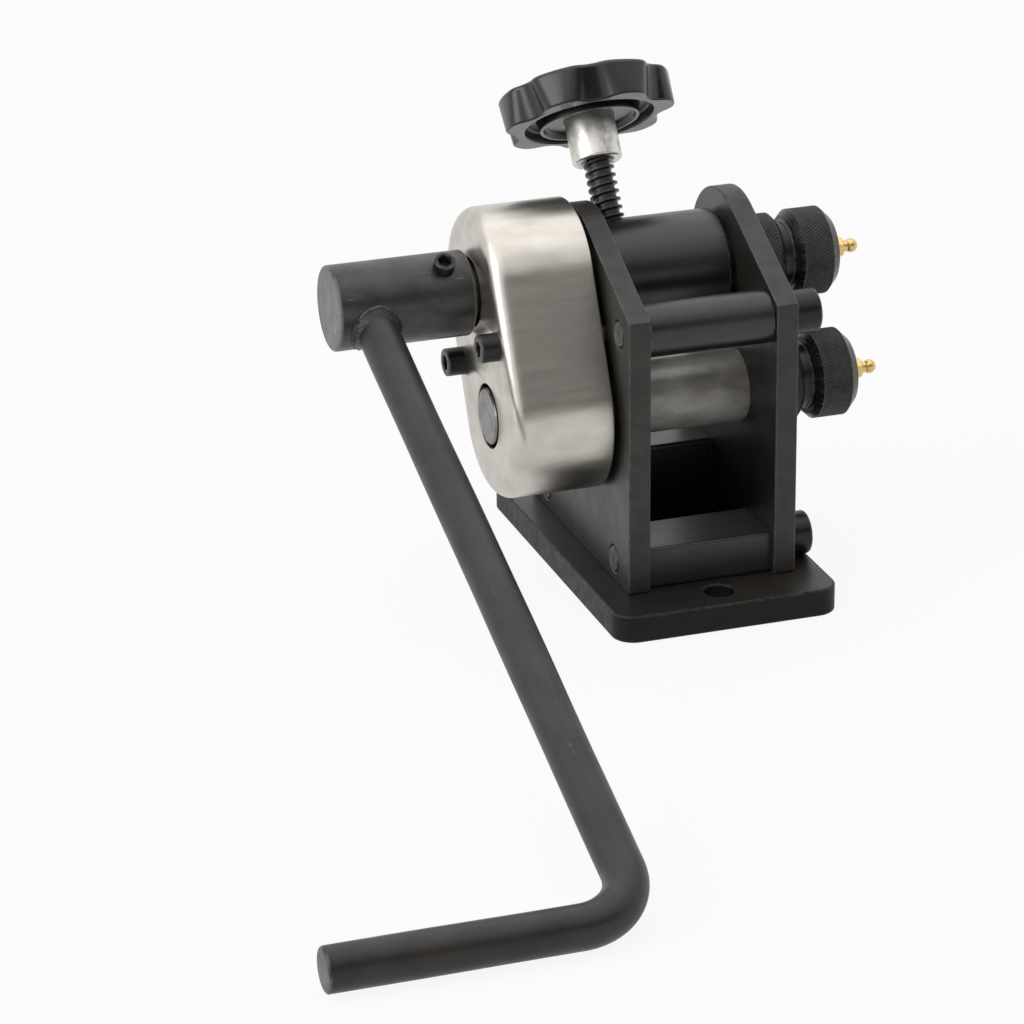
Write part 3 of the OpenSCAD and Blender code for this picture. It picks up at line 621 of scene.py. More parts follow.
@dataclass(frozen=True)
class BlackenedSteel(Finish):
    """Black oxide on steel: a thin dark film that keeps the metal's grain and a satin gloss.

    The film is blotchy where oil dried, brownish in places, and rubbed through to grey metal
    on edges and in short scratches.

    Attributes:
        colour: The film's main colour.
        patch: The colour of its blotches.
        stain: The brownish tone of thin film.
        bare: The colour of rubbed metal.
        blotch: Size of a blotch, in millimetres.
        stained: Share of the brownish tone.
        worn: Share of bare metal along worn edges.
        wear_size: Size of the bare patches along worn edges, in millimetres.
        marks: Share of bare metal in short scratches.
        mark_size: How much larger than usual the scratches are.
        roughness: Roughness of the film.
        sheen: Specular level of the film.
        draw: How much longer the grain is along the first direction than across.
        relief: Height of the grain, in millimetres.
        blotch_shape: Length and width of a blotch beside its size.
        stain_shape: Length and width of a stain beside a blotch's size.
        scratch: Length and width of the cells that hold a scratch, in millimetres.
        gap: Length and width of what breaks a scratch up, in millimetres.
        grit: Width of the grain, in millimetres, coarser than the real one so that it shows.
        gloss_range: Roughness in the glossiest and the dullest places beside the film's.
    """

    colour: str = "#262523"
    patch: str = "#191919"
    stain: str = "#33291f"
    bare: str = "#8d8a85"
    blotch: float = 9.0
    stained: float = 0.5
    worn: float = 0.5
    wear_size: float = 2.5
    marks: float = 0.5
    mark_size: float = 1.0
    roughness: float = 0.42
    sheen: float = 0.5
    draw: float = 6.0
    relief: float = 0.012
    blotch_shape: tuple[float, float] = (1.6, 1.0)
    stain_shape: tuple[float, float] = (2.2, 1.4)
    scratch: tuple[float, float] = (9.0, 0.9)
    gap: tuple[float, float] = (1.4, 0.35)
    grit: float = 0.5
    gloss_range: tuple[float, float] = (0.85, 1.25)

    def shade(self, tree: bpy.types.NodeTree, place: bpy.types.NodeSocket) -> bpy.types.NodeSocket:
        """Builds the film, its blotches, stains, scratches and worn edges."""
        blotches = noise(tree, place, [self.blotch * v for v in self.blotch_shape], 0.35, 0.65)
        stains = noise(tree, place, [self.blotch * v for v in self.stain_shape], 0.5, 0.72)
        lines = scratches(tree, place, [self.mark_size * v for v in self.scratch], (0.24, 0.08), (0.8, 0.84))
        marks = joined(tree, Join.BOTH, lines, noise(tree, place, self.gap, 0.5, 0.6))
        edge = add(tree, "Attribute", attribute_name="wear").outputs["Fac"]
        patches = noise(tree, place, (self.wear_size, self.wear_size), 0.3, 0.68)
        rubbed = joined(tree, Join.BOTH, edge, patches)
        bare = joined(tree, Join.EITHER, joined(tree, Join.BOTH, marks, self.marks),
                      joined(tree, Join.BOTH, rubbed, self.worn))
        colour = painted(tree, self.colour, (self.patch, blotches),
                         (self.stain, joined(tree, Join.BOTH, stains, self.stained)), (self.bare, bare))
        grain = noise(tree, place, (self.grit * self.draw, self.grit), 0.2, 0.8, 5.0)
        low, high = (self.roughness * v for v in self.gloss_range)
        return surface(tree, colour, joined(tree, Join.BOTH, grain, blotches), (low, high), grain,
                       self.relief, {"Specular IOR Level": self.sheen})


@dataclass(frozen=True)
class DrawnSheet(Finish):
    """Stainless sheet, deep drawn: satin, with fine lines and scratches along the draw.

    Attributes:
        colour: The metal's colour.
        dull: The colour of handled patches.
        dirt: The colour of specks and dark scratches.
        roughness: Roughness of the satin.
        streak: Width of the draw lines, in millimetres, coarser than the real ones so that they show.
        streak_len: Length of the draw lines, in millimetres.
        cloud: Length and width of a handled patch, in millimetres.
        handled: Share of the handled patches' colour.
        scratch: Length and width of the cells that hold a scratch, in millimetres.
        speck: Length and width of a speck, in millimetres.
        spatter: Size of the places where specks are, in millimetres.
        specked: Share of dirt in the specks.
        dirty: Share of the dirt's colour.
        wave: Length and width of the sheet's low waves, in millimetres.
        line_share: Height of the draw lines beside the waves.
        relief: Height of the waves, in millimetres.
        gloss_range: Roughness in the glossiest and the dullest places beside the satin's.
    """

    colour: str = "#c9c4bc"
    dull: str = "#b3aea5"
    dirt: str = "#4a463f"
    roughness: float = 0.33
    streak: float = 0.45
    streak_len: float = 30.0
    cloud: tuple[float, float] = (16.0, 8.0)
    handled: float = 0.6
    scratch: tuple[float, float] = (26.0, 1.3)
    speck: tuple[float, float] = (0.9, 0.5)
    spatter: float = 14.0
    specked: float = 0.8
    dirty: float = 0.7
    wave: tuple[float, float] = (20.0, 6.0)
    line_share: float = 0.02
    relief: float = 0.06
    gloss_range: tuple[float, float] = (0.9, 1.2)

    def shade(self, tree: bpy.types.NodeTree, place: bpy.types.NodeSocket) -> bpy.types.NodeSocket:
        """Builds the satin metal with its lines, cloudy patches, scratches and specks."""
        clouds = noise(tree, place, self.cloud, 0.38, 0.66)
        lines = noise(tree, place, (self.streak_len, self.streak), 0.3, 0.7, 4.0)
        marks = scratches(tree, place, self.scratch, (0.1, 0.04), (0.84, 0.9))
        specks = joined(tree, Join.BOTH, noise(tree, place, self.speck, 0.7, 0.76, 1.0),
                        noise(tree, place, (self.spatter, self.spatter), 0.5, 0.62, 1.0))
        dirt = joined(tree, Join.EITHER, marks, joined(tree, Join.BOTH, specks, self.specked))
        colour = painted(tree, self.colour, (self.dull, joined(tree, Join.BOTH, clouds, self.handled)),
                         (self.dirt, joined(tree, Join.BOTH, dirt, self.dirty)))
        waves = noise(tree, place, self.wave, 0.2, 0.8, 1.0)
        height = joined(tree, Join.SUM, joined(tree, Join.BOTH, lines, self.line_share), waves)
        low, high = (self.roughness * v for v in self.gloss_range)
        return surface(tree, colour, joined(tree, Join.BOTH, clouds, lines), (low, high), height,
                       self.relief, {"Metallic": 1.0})


@dataclass(frozen=True)
class TurnedMetal(Finish):
    """Bare metal turned on a lathe: fine rings round the axis, with stains.

    Attributes:
        colour: The metal's colour.
        stain: The colour of its stains.
        stained: Share of the stains.
        roughness: Roughness between the rings.
        feed: Distance from ring to ring, in millimetres, coarser than the real one so that it shows.
        ring_len: Length of a ring's unbroken stretches, in millimetres.
        blot: Length and width of a stain, in millimetres.
        nick: Length and width of a small scratch, in millimetres.
        relief: Height of the rings, in millimetres.
        dulled: Roughness of the stains beside the rest.
    """

    colour: str = "#b5b2ac"
    stain: str = "#55504a"
    stained: float = 0.3
    roughness: float = 0.3
    feed: float = 0.25
    ring_len: float = 9.0
    blot: tuple[float, float] = (4.0, 3.0)
    nick: tuple[float, float] = (2.5, 0.4)
    relief: float = 0.01
    dulled: float = 1.5

    def shade(self, tree: bpy.types.NodeTree, place: bpy.types.NodeSocket) -> bpy.types.NodeSocket:
        """Builds the metal with its rings, stains and small scratches."""
        stains = noise(tree, place, self.blot, 0.45, 0.7, 5.0)
        rings = noise(tree, place, (self.feed, self.ring_len), 0.25, 0.75, 2.0)
        nicks = noise(tree, place, self.nick, 0.62, 0.7, 2.0)
        marked = joined(tree, Join.EITHER, joined(tree, Join.BOTH, stains, self.stained),
                        joined(tree, Join.BOTH, nicks, self.stained))
        colour = painted(tree, self.colour, (self.stain, marked))
        return surface(tree, colour, stains, (self.roughness, self.roughness * self.dulled), rings,
                       self.relief, {"Metallic": 1.0})


@dataclass(frozen=True)
class MouldedPhenolic(Finish):
    """Black phenolic, moulded: deep gloss with faint handling marks and a little dust.

    Attributes:
        colour: The resin's colour.
        dust: The colour of dust and dull marks.
        roughness: Roughness of the gloss.
        smear: Length and width of a handling mark, in millimetres.
        smeared: Roughness of the handling marks beside the gloss.
        speck: Size of a speck of dust, in millimetres, coarser than the real one so that it shows.
        dusty: Share of the dust's colour.
        ripple: Size of the moulding's ripples, in millimetres.
        relief: Height of the ripples, in millimetres.
        coat: Weight of the clear skin that the mould leaves.
        coat_roughness: Roughness of that skin.
    """

    colour: str = "#101010"
    dust: str = "#40403e"
    roughness: float = 0.24
    smear: tuple[float, float] = (9.0, 14.0)
    smeared: float = 1.4
    speck: float = 0.5
    dusty: float = 0.35
    ripple: float = 7.0
    relief: float = 0.02
    coat: float = 0.1
    coat_roughness: float = 0.12

    def shade(self, tree: bpy.types.NodeTree, place: bpy.types.NodeSocket) -> bpy.types.NodeSocket:
        """Builds the gloss with its smears and dust."""
        smears = noise(tree, place, self.smear, 0.42, 0.7, 4.0)
        dust = noise(tree, place, (self.speck, self.speck), 0.66, 0.78, 2.0)
        ripples = noise(tree, place, (self.ripple, self.ripple), 0.2, 0.8, 1.0)
        colour = painted(tree, self.colour, (self.dust, joined(tree, Join.BOTH, dust, self.dusty)))
        return surface(tree, colour, smears, (self.roughness, self.roughness * self.smeared), ripples,
                       self.relief, {"Coat Weight": self.coat, "Coat Roughness": self.coat_roughness})


ROLLED_PLATE = BlackenedSteel("rolled_plate", "blackened_steel", blotch=14.0, worn=0.25)
CUT_EDGE = BlackenedSteel("cut_edge", "cut_steel", colour="#2d2a27", patch="#201f1e", stain="#3a2e25",
                          blotch=5.0, stained=0.5, worn=0.22, roughness=0.48, sheen=0.5)
# A darker, duller copy of the cut steel for the base's edges: painted shade, not a finish of their own
SHADED_BASE_EDGE = BlackenedSteel("shaded_base_edge", "cut_steel", colour="#111110", patch="#0b0b0b", stain="#1c1611",
                           blotch=5.0, stained=0.5, worn=0.2, roughness=0.5, sheen=0.2)
TURNED_BLACK = BlackenedSteel("turned_black", "turned_black_steel", colour="#1e1d1c", patch="#151515",
                              blotch=11.0, roughness=0.36, sheen=0.6)
# A pale copy of the turned black steel for the lower tube: partly greyer worn metal, partly a painted
# highlight for the strong light on it
WORN_AND_LIT_BLACK = BlackenedSteel("worn_and_lit_black", "turned_black_steel", colour="#b2afa9", patch="#85827c",
                            stain="#8f8373", blotch=9.0, roughness=0.32, sheen=0.8)
BLACK_BAR = BlackenedSteel("black_bar", "black_bar", colour="#272624", patch="#191817", blotch=10.0,
                           stained=0.35, wear_size=6.0, marks=0.8, mark_size=2.0, roughness=0.44, sheen=0.46)
# A lighter copy of the bar's finish for the hub: its stronger blotches are real, its extra lightness is a
# painted highlight
LIT_BLACK_BUSH = BlackenedSteel("lit_black_bush", "black_bar", colour="#3c3a37", patch="#1b1a19", blotch=7.0,
                            stained=0.4, wear_size=6.0, marks=0.8, mark_size=1.6, roughness=0.38, sheen=0.55)
BLACK_WELD = BlackenedSteel("black_weld", "black_bar", colour="#302f2d", patch="#131312", blotch=2.5,
                            stained=0.3, wear_size=1.2, worn=0.9, marks=0.0, roughness=0.45, sheen=0.4)
BLACK_SCREW = BlackenedSteel("black_screw", "black_screws", colour="#151516", patch="#0e0e0f",
                             stain="#26211d", blotch=4.0, stained=0.3, roughness=0.36, marks=0.2,
                             sheen=0.36)
KNURLED = BlackenedSteel("knurled", "knurled_steel", colour="#161615", patch="#101010", stain="#1d1916",
                         blotch=5.0, stained=0.3, worn=0.25, marks=0.0, roughness=0.36,
                         sheen=0.36)
SATIN_SHEET = DrawnSheet("satin_sheet", "satin_steel")
MACHINED_STEEL = TurnedMetal("machined_steel", "bright_steel", colour="#7c7a78", stained=0.5)
STAINED_ALUMINIUM = TurnedMetal("stained_aluminium", "pale_aluminium", colour="#dcd9d3", stain="#7b756c",
                                stained=0.5, roughness=0.34)
TURNED_BRASS = TurnedMetal("turned_brass", "brass", colour="#d8ba7c", stain="#8d6c30", stained=0.2,
                           roughness=0.22)
BLACK_PHENOLIC = MouldedPhenolic("black_phenolic", "black_phenolic")


def dress(finish: Finish, *nodes: str) -> None:
    """Gives nodes of the frame that keep their shape a finish of their own."""
    for node in nodes:
        mesh = frame["nodes"][node].data
        mesh.materials.clear()
        mesh.materials.append(finish.material(Coordinates.OBJECT))
        LOG.info("%s: %s", node, finish.name)


def shaft_axis(node: str) -> Axis:
    """The axis along X through the middle of a node that is turned about it."""
    centre = middle(node)
    return Axis((0.0, float(centre[1]), float(centre[2])), (1.0, 0.0, 0.0))


LOWER_AXIS = shaft_axis("lower_bearing_tube")
UPPER_AXIS = shaft_axis("upper_housing_tube")
SCREW_DIRECTION = tuple(next(j["axis"] for j in frame["joints"] if j["name"] == "knob_turn"))
SCREW_LEAN = math.atan2(SCREW_DIRECTION[2], SCREW_DIRECTION[1])


def upright(flat: np.ndarray, x: float) -> np.ndarray:
    """Lays flat points (y, z) in the upright plane at x."""
    return np.column_stack([np.full(len(flat), x), flat])


def level(flat: np.ndarray, z: float) -> np.ndarray:
    """Lays flat points (x, y) in the level plane at z."""
    return np.column_stack([flat, np.full(len(flat), z)])


@dataclass
class CapScrew:
    """A socket head cap screw: a chamfered head with a hexagonal socket, and its shank.

    Attributes:
        axis: The screw's axis, which points out of its head.
        seat: Where the head's underside is.
        head_d: Diameter of the head.
        head_h: Height of the head.
        shank_d: Diameter of the shank.
        tip: Where the shank ends.
        edge_r: Rounding of the head's edges.
        socket_share: Width across the socket's flats beside the head's diameter.
        depth_share: Depth of the socket beside the head's height.
        tip_chamfer: Chamfer of the shank's tip.
        mouth: Chamfer of the socket's mouth.
        land: Width of the flat ring round the socket's mouth.
        drill_share: Radius of the drilled bottom beside half the socket's width.
        cone_share: Depth of the drill's cone beside the same.
    """

    axis: Axis
    seat: float
    head_d: float
    head_h: float
    shank_d: float
    tip: float
    edge_r: float = 0.9
    socket_share: float = 0.5
    depth_share: float = 0.55
    tip_chamfer: float = 0.7
    mouth: float = 0.3
    land: float = 0.4
    drill_share: float = 0.96
    cone_share: float = 0.4

    def build(self, shell: Shell) -> None:
        """Adds the screw to a shell."""
        head, shank = self.head_d / 2, self.shank_d / 2
        flat = self.socket_share * head
        top = self.seat + self.head_h
        floor = top - self.depth_share * self.head_h
        body = rounded([
            (self.tip, 0, 0), (self.tip, shank - self.tip_chamfer, 0.1),
            (self.tip + self.tip_chamfer, shank, 0.2), (self.seat, shank, 0),
            (self.seat, head, 0.25), (top, head, self.edge_r), (top, flat + self.mouth + self.land, 0),
        ])
        body[:, 2] *= body[:, 0] > self.seat
        body[body[:, 0] <= self.tip, 2] = 1.0
        socket = np.array([
            (top, flat + self.mouth, 1.0), (top - self.mouth, flat, 0.6), (floor, flat, 0.0),
            (floor, flat * self.drill_share, 0.0), (floor - flat * self.cone_share, 0.0, 0.0),
        ])
        forms = [Section.ROUND] * len(body) + [Section.HEXAGON] * 4 + [Section.ROUND]
        shell.turn(self.axis, np.vstack([body, socket]), forms)


@dataclass
class Base:
    """The base plate, the screws under it and the two blocks that stand on it."""

    corner_r: float = 8.0
    bench_hole_d: float = 11.0
    bench_hole_inset: float = 12.0
    edge_r: float = 0.7
    block_edge_r: float = 1.2
    block_end_r: float = 0.3
    bolt_hole_r: float = 5.3
    rear_front: float = 9.4
    rear_top: float = 39.3

    def build(self) -> None:
        """Builds the base plate and the blocks, and dresses the screws."""
        low, high = corners("base_plate")
        outline = rectangle(low, high, self.corner_r)
        holes = [circle((0, side * (high[1] - self.bench_hole_inset)), self.bench_hole_d / 2)
                 for side in (-1, 1)]
        shell = Shell()
        shell.slab([outline, *holes], float(low[2]), float(high[2]), self.edge_r, level, wall_slot=1)
        shell.stand_for("base_plate", Body.FRAME, ROLLED_PLATE, SHADED_BASE_EDGE)
        for node in ("front_spacer_block", "rear_spacer_block"):
            self.block(node)
        dress(BLACK_SCREW, "plate_screws")

    def block(self, node: str) -> None:
        """Builds a spacer block: a bar across the base with a bolt hole through it.

        The rear block is drawn larger than its node, further to the front and higher, because
        no background shows between the plates.
        """
        low, high = corners(node)
        if node == "rear_spacer_block":
            low[1], high[2] = self.rear_front, self.rear_top
        outline = rectangle(low[1:], high[1:], self.block_edge_r)
        hole = circle((middle(node)[1], middle("spacer_bolts")[2]), self.bolt_hole_r)
        shell = Shell()
        shell.slab([outline, hole], float(low[0]), float(high[0]), self.block_end_r, upright)
        shell.stand_for(node, Body.FRAME, TURNED_BLACK)


@dataclass
class SidePlates:
    """The two side plates and the tubes and bolts that hold them apart."""

    top_r: float = 27.0
    front_h: float = 100.3
    corner_r: float = 0.8
    edge_r: float = 0.45
    hole_gap: float = 0.02
    bolt_clearance: float = 0.3
    bolt_d: float = 10.0
    bolt_head_h: float = 10.2
    cover_screw_d: float = 6.0
    tube_edge_r: float = 0.8
    travel: float = 1.5
    slot_r: float = 13.3
    slot_land: float = 3.0
    slot_sides: int = 96
    tube_bore_r: float = 10.05
    housing_edge_r: float = 1.0
    tie_extra_r: float = 1.2

    def apex(self, heel: np.ndarray, shoulder: np.ndarray) -> np.ndarray:
        """Where the tangents from heel and shoulder to the round top meet above it."""
        centre = np.array(UPPER_AXIS.origin[1:])

        def touch(point: np.ndarray, side: int) -> np.ndarray:
            """Where a tangent from point touches the circle of the round top."""
            away = point - centre
            turn = math.atan2(away[1], away[0]) + side * math.acos(self.top_r / np.linalg.norm(away))
            return centre + self.top_r * np.array([math.cos(turn), math.sin(turn)])

        back, front = touch(heel, 1) - heel, touch(shoulder, -1) - shoulder
        share = np.linalg.solve(np.column_stack([back, -front]), shoulder - heel)
        return heel + share[0] * back

    def outline(self, node: str) -> np.ndarray:
        """A side plate's outline: upright front, slanted shoulder, round top, leaning back."""
        low, high = corners(node)
        heel, shoulder = np.array([high[1], low[2]]), np.array([low[1], low[2] + self.front_h])
        top = self.apex(heel, shoulder)
        r = self.corner_r
        corner = (low[1], low[2], r)
        return rounded([corner, (*heel, r), (*top, self.top_r), (*shoulder, r)], closed=True)[:, :2]

    def bolt_places(self) -> list[np.ndarray]:
        """Where the three bolts pass through the plates, as (y, z)."""
        z = middle("spacer_bolts")[2]
        spacers = [np.array([middle(node)[1], z]) for node in ("front_spacer_block", "rear_spacer_block")]
        return [middle("tie_tube")[1:], *spacers]

    def plate(self, node: str, clearance: float, cover_screws: Sequence[np.ndarray]) -> None:
        """Builds one side plate with its holes."""
        low, high = corners(node)
        lower = LOWER_AXIS.origin[1:]
        tube_r = corners("lower_bearing_tube")[1][1] - lower[0] + self.hole_gap
        turn = -full_turn(self.slot_sides)
        reach = slot_reach(turn, self.slot_r, self.travel, SCREW_LEAN)
        slot = np.array(UPPER_AXIS.origin[1:]) + polar(turn, reach)
        holes = [circle(lower, tube_r, self.slot_sides), slot]
        holes += [circle(place, self.bolt_d / 2 + clearance) for place in self.bolt_places()]
        holes += [circle(place, self.cover_screw_d / 2 + self.hole_gap, 48) for place in cover_screws]
        shell = Shell()
        shell.slab([self.outline(node), *holes], float(low[0]), float(high[0]), self.edge_r, upright,
                   wall_slot=1)
        shell.stand_for(node, Body.FRAME, ROLLED_PLATE, CUT_EDGE)

    def tube(self, node: str, bore: float, finish: Finish, extra: float = 0.0) -> None:
        """Builds a plain tube along X with rounded ends, a little thicker than the node if asked."""
        low, high = corners(node)
        r, edge = box_radius(node) + extra, self.tube_edge_r
        rows = rounded([(low[0], bore, 0), (low[0], r, edge), (high[0], r, edge), (high[0], bore, 0),
                        (low[0], bore, 0)])
        shell = Shell()
        shell.turn(shaft_axis(node), rows)
        shell.stand_for(node, Body.FRAME, finish)

    def housing(self) -> None:
        """Builds the upper housing tube, round outside and slotted inside."""
        node = "upper_housing_tube"
        low, high = corners(node)
        r, edge, land = box_radius(node), self.housing_edge_r, self.slot_r + self.slot_land
        outside = rounded([(low[0], land, 0), (low[0], r, edge), (high[0], r, edge), (high[0], land, 0)])
        inside = np.array([(high[0], self.slot_r, 0.0), (low[0], self.slot_r, 0.0)])
        rows = np.vstack([outside, inside, outside[:1]])
        forms = [Section.ROUND] * len(outside) + [Section.SLOT] * 2 + [Section.ROUND]
        shell = Shell()
        shell.turn(UPPER_AXIS, rows, forms, travel=self.travel, lean=SCREW_LEAN)
        shell.stand_for(node, Body.FRAME, TURNED_BLACK)

    def bolts(self, node: str, places: Sequence[np.ndarray]) -> None:
        """Builds the cap bolts that pass through both plates."""
        low, high = corners(node)
        head_d = float(high[2] - low[2])
        shell = Shell()
        for y, z in places:
            axis = Axis((0.0, float(y), float(z)), (1.0, 0.0, 0.0))
            CapScrew(axis, float(high[0]) - self.bolt_head_h, head_d, self.bolt_head_h, self.bolt_d,
                     float(low[0])).build(shell)
        shell.stand_for(node, Body.FRAME, BLACK_SCREW)

    def build(self, cover_screws: Sequence[np.ndarray]) -> None:
        """Builds the plates, the tubes and the bolts."""
        self.plate("left_side_plate", self.hole_gap, cover_screws)
        self.plate("right_side_plate", self.bolt_clearance, ())
        self.tube("lower_bearing_tube", self.tube_bore_r, WORN_AND_LIT_BLACK)
        self.tube("tie_tube", self.bolt_d / 2 + self.bolt_clearance, TURNED_BLACK, self.tie_extra_r)
        self.housing()
        tie, *spacers = self.bolt_places()
        self.bolts("tie_bolt", [tie])
        self.bolts("spacer_bolts", spacers)
        dress(MACHINED_STEEL, "upper_bearing_sleeve")


@dataclass
class GearCover:
    """The drawn cover over the gears, with its spacers and two screws."""

    edge_r: float = 5.4
    wall: float = 1.8
    rim_r: float = 0.5
    screw_reach: float = 21.0
    lower_hole_r: float = 11.5
    upper_hole_r: float = 12.5
    screw_hole_r: float = 3.3
    screw_d: float = 6.0
    head_d: float = 10.0
    head_h: float = 6.5
    head_edge_r: float = 0.6
    lip_len: float = 3.0
    roll: float = 0.35
    roll_share: float = 0.3
    arc_points: int = 97
    side_points: int = 25
    edge_points: int = 9
    wall_rings: int = 12
    hole_sides: int = 72

    def screw_places(self) -> list[np.ndarray]:
        """Where the cover's screws are, as (y, z): both sides of the middle between the shafts."""
        lower, upper = np.array(LOWER_AXIS.origin[1:]), np.array(UPPER_AXIS.origin[1:])
        line = (upper - lower) / np.linalg.norm(upper - lower)
        across = np.array([line[1], -line[0]])
        return [(lower + upper) / 2 + side * self.screw_reach * across for side in (1, -1)]

    def outline(self, draw: float) -> np.ndarray:
        """The cover's outline drawn in: two half circles about the shafts, joined by tangents."""
        lower, upper = np.array(LOWER_AXIS.origin[1:]), np.array(UPPER_AXIS.origin[1:])
        radius = corners("gear_cover")[1][1] - upper[0] - draw
        line = math.atan2(*(upper - lower)[::-1])
        half = np.linspace(-math.pi / 2, math.pi / 2, self.arc_points)
        side = np.linspace(0, 1, self.side_points)[1:-1, None]

        def arc(centre: np.ndarray, turn: np.ndarray) -> np.ndarray:
            """Points of a half circle about a shaft."""
            return centre + polar(turn, radius)

        top, bottom = arc(upper, line + half), arc(lower, line + math.pi + half)
        return np.vstack([top, top[-1] + side * (bottom[0] - top[-1]), bottom,
                          bottom[-1] + side * (top[0] - bottom[-1])])

    def build(self) -> None:
        """Builds the cover and its screws, and dresses the spacers."""
        low, high = corners("gear_cover")
        face, rim = float(low[0]), float(high[0])
        edge, wall, rim_r = self.edge_r, self.wall, self.rim_r
        inner = edge - wall
        turn = quarter_turn(self.edge_points)
        plain = np.zeros(self.edge_points)
        inside = np.column_stack([face + wall + inner * (1 - np.sin(turn)[::-1]),
                                  wall + inner * (1 - np.cos(turn)[::-1]), plain])
        outside = np.column_stack([face + edge * (1 - np.sin(turn)), edge * (1 - np.cos(turn)), plain])
        support = np.array([(face, edge + GUARD, 0.0)])
        places = np.linspace(rim - rim_r - GUARD, face + edge, self.wall_rings + 2)[1:-1]
        walls = np.column_stack([places, np.zeros((self.wall_rings, 2))])
        lip_start = rim - self.lip_len
        lip = rounded([(lip_start, wall, 0), (rim, wall, rim_r), (rim, 0, rim_r), (lip_start, 0, 0)])[1:-1]
        rows = np.vstack([inside, lip, walls, outside, support])
        rings = np.array([upright(self.outline(draw), x) for x, draw, _ in rows])
        shell = Shell()
        shell.grid(rings, wear=rows[:, 2:3])
        holes = [(LOWER_AXIS.origin[1:], self.lower_hole_r), (UPPER_AXIS.origin[1:], self.upper_hole_r),
                 *((place, self.screw_hole_r) for place in self.screw_places())]
        loops = [circle(place, radius, self.hole_sides) for place, radius in holes]
        roll = self.roll
        shell.face([self.outline(edge + GUARD), *(inset(loop, roll) for loop in loops)],
                   lambda flat: upright(flat, face))
        shell.face([self.outline(wall + inner), *loops], lambda flat: upright(flat, face + wall))
        for loop in loops:
            edges = ((face, roll), (face + roll * self.roll_share, roll * self.roll_share),
                     (face + roll, 0), (face + wall, 0))
            shell.grid(np.array([upright(inset(loop, draw), x) for x, draw in edges]))
        shell.stand_for("gear_cover", Body.FRAME, SATIN_SHEET)
        screws = Shell()
        tip = float(corners("cover_screws")[1][0])
        for y, z in self.screw_places():
            axis = Axis((0.0, float(y), float(z)), (-1.0, 0.0, 0.0))
            CapScrew(axis, -face, self.head_d, self.head_h, self.screw_d, -tip,
                     self.head_edge_r).build(screws)
        screws.stand_for("cover_screws", Body.FRAME, BLACK_SCREW)
        dress(MACHINED_STEEL, "cover_spacers")


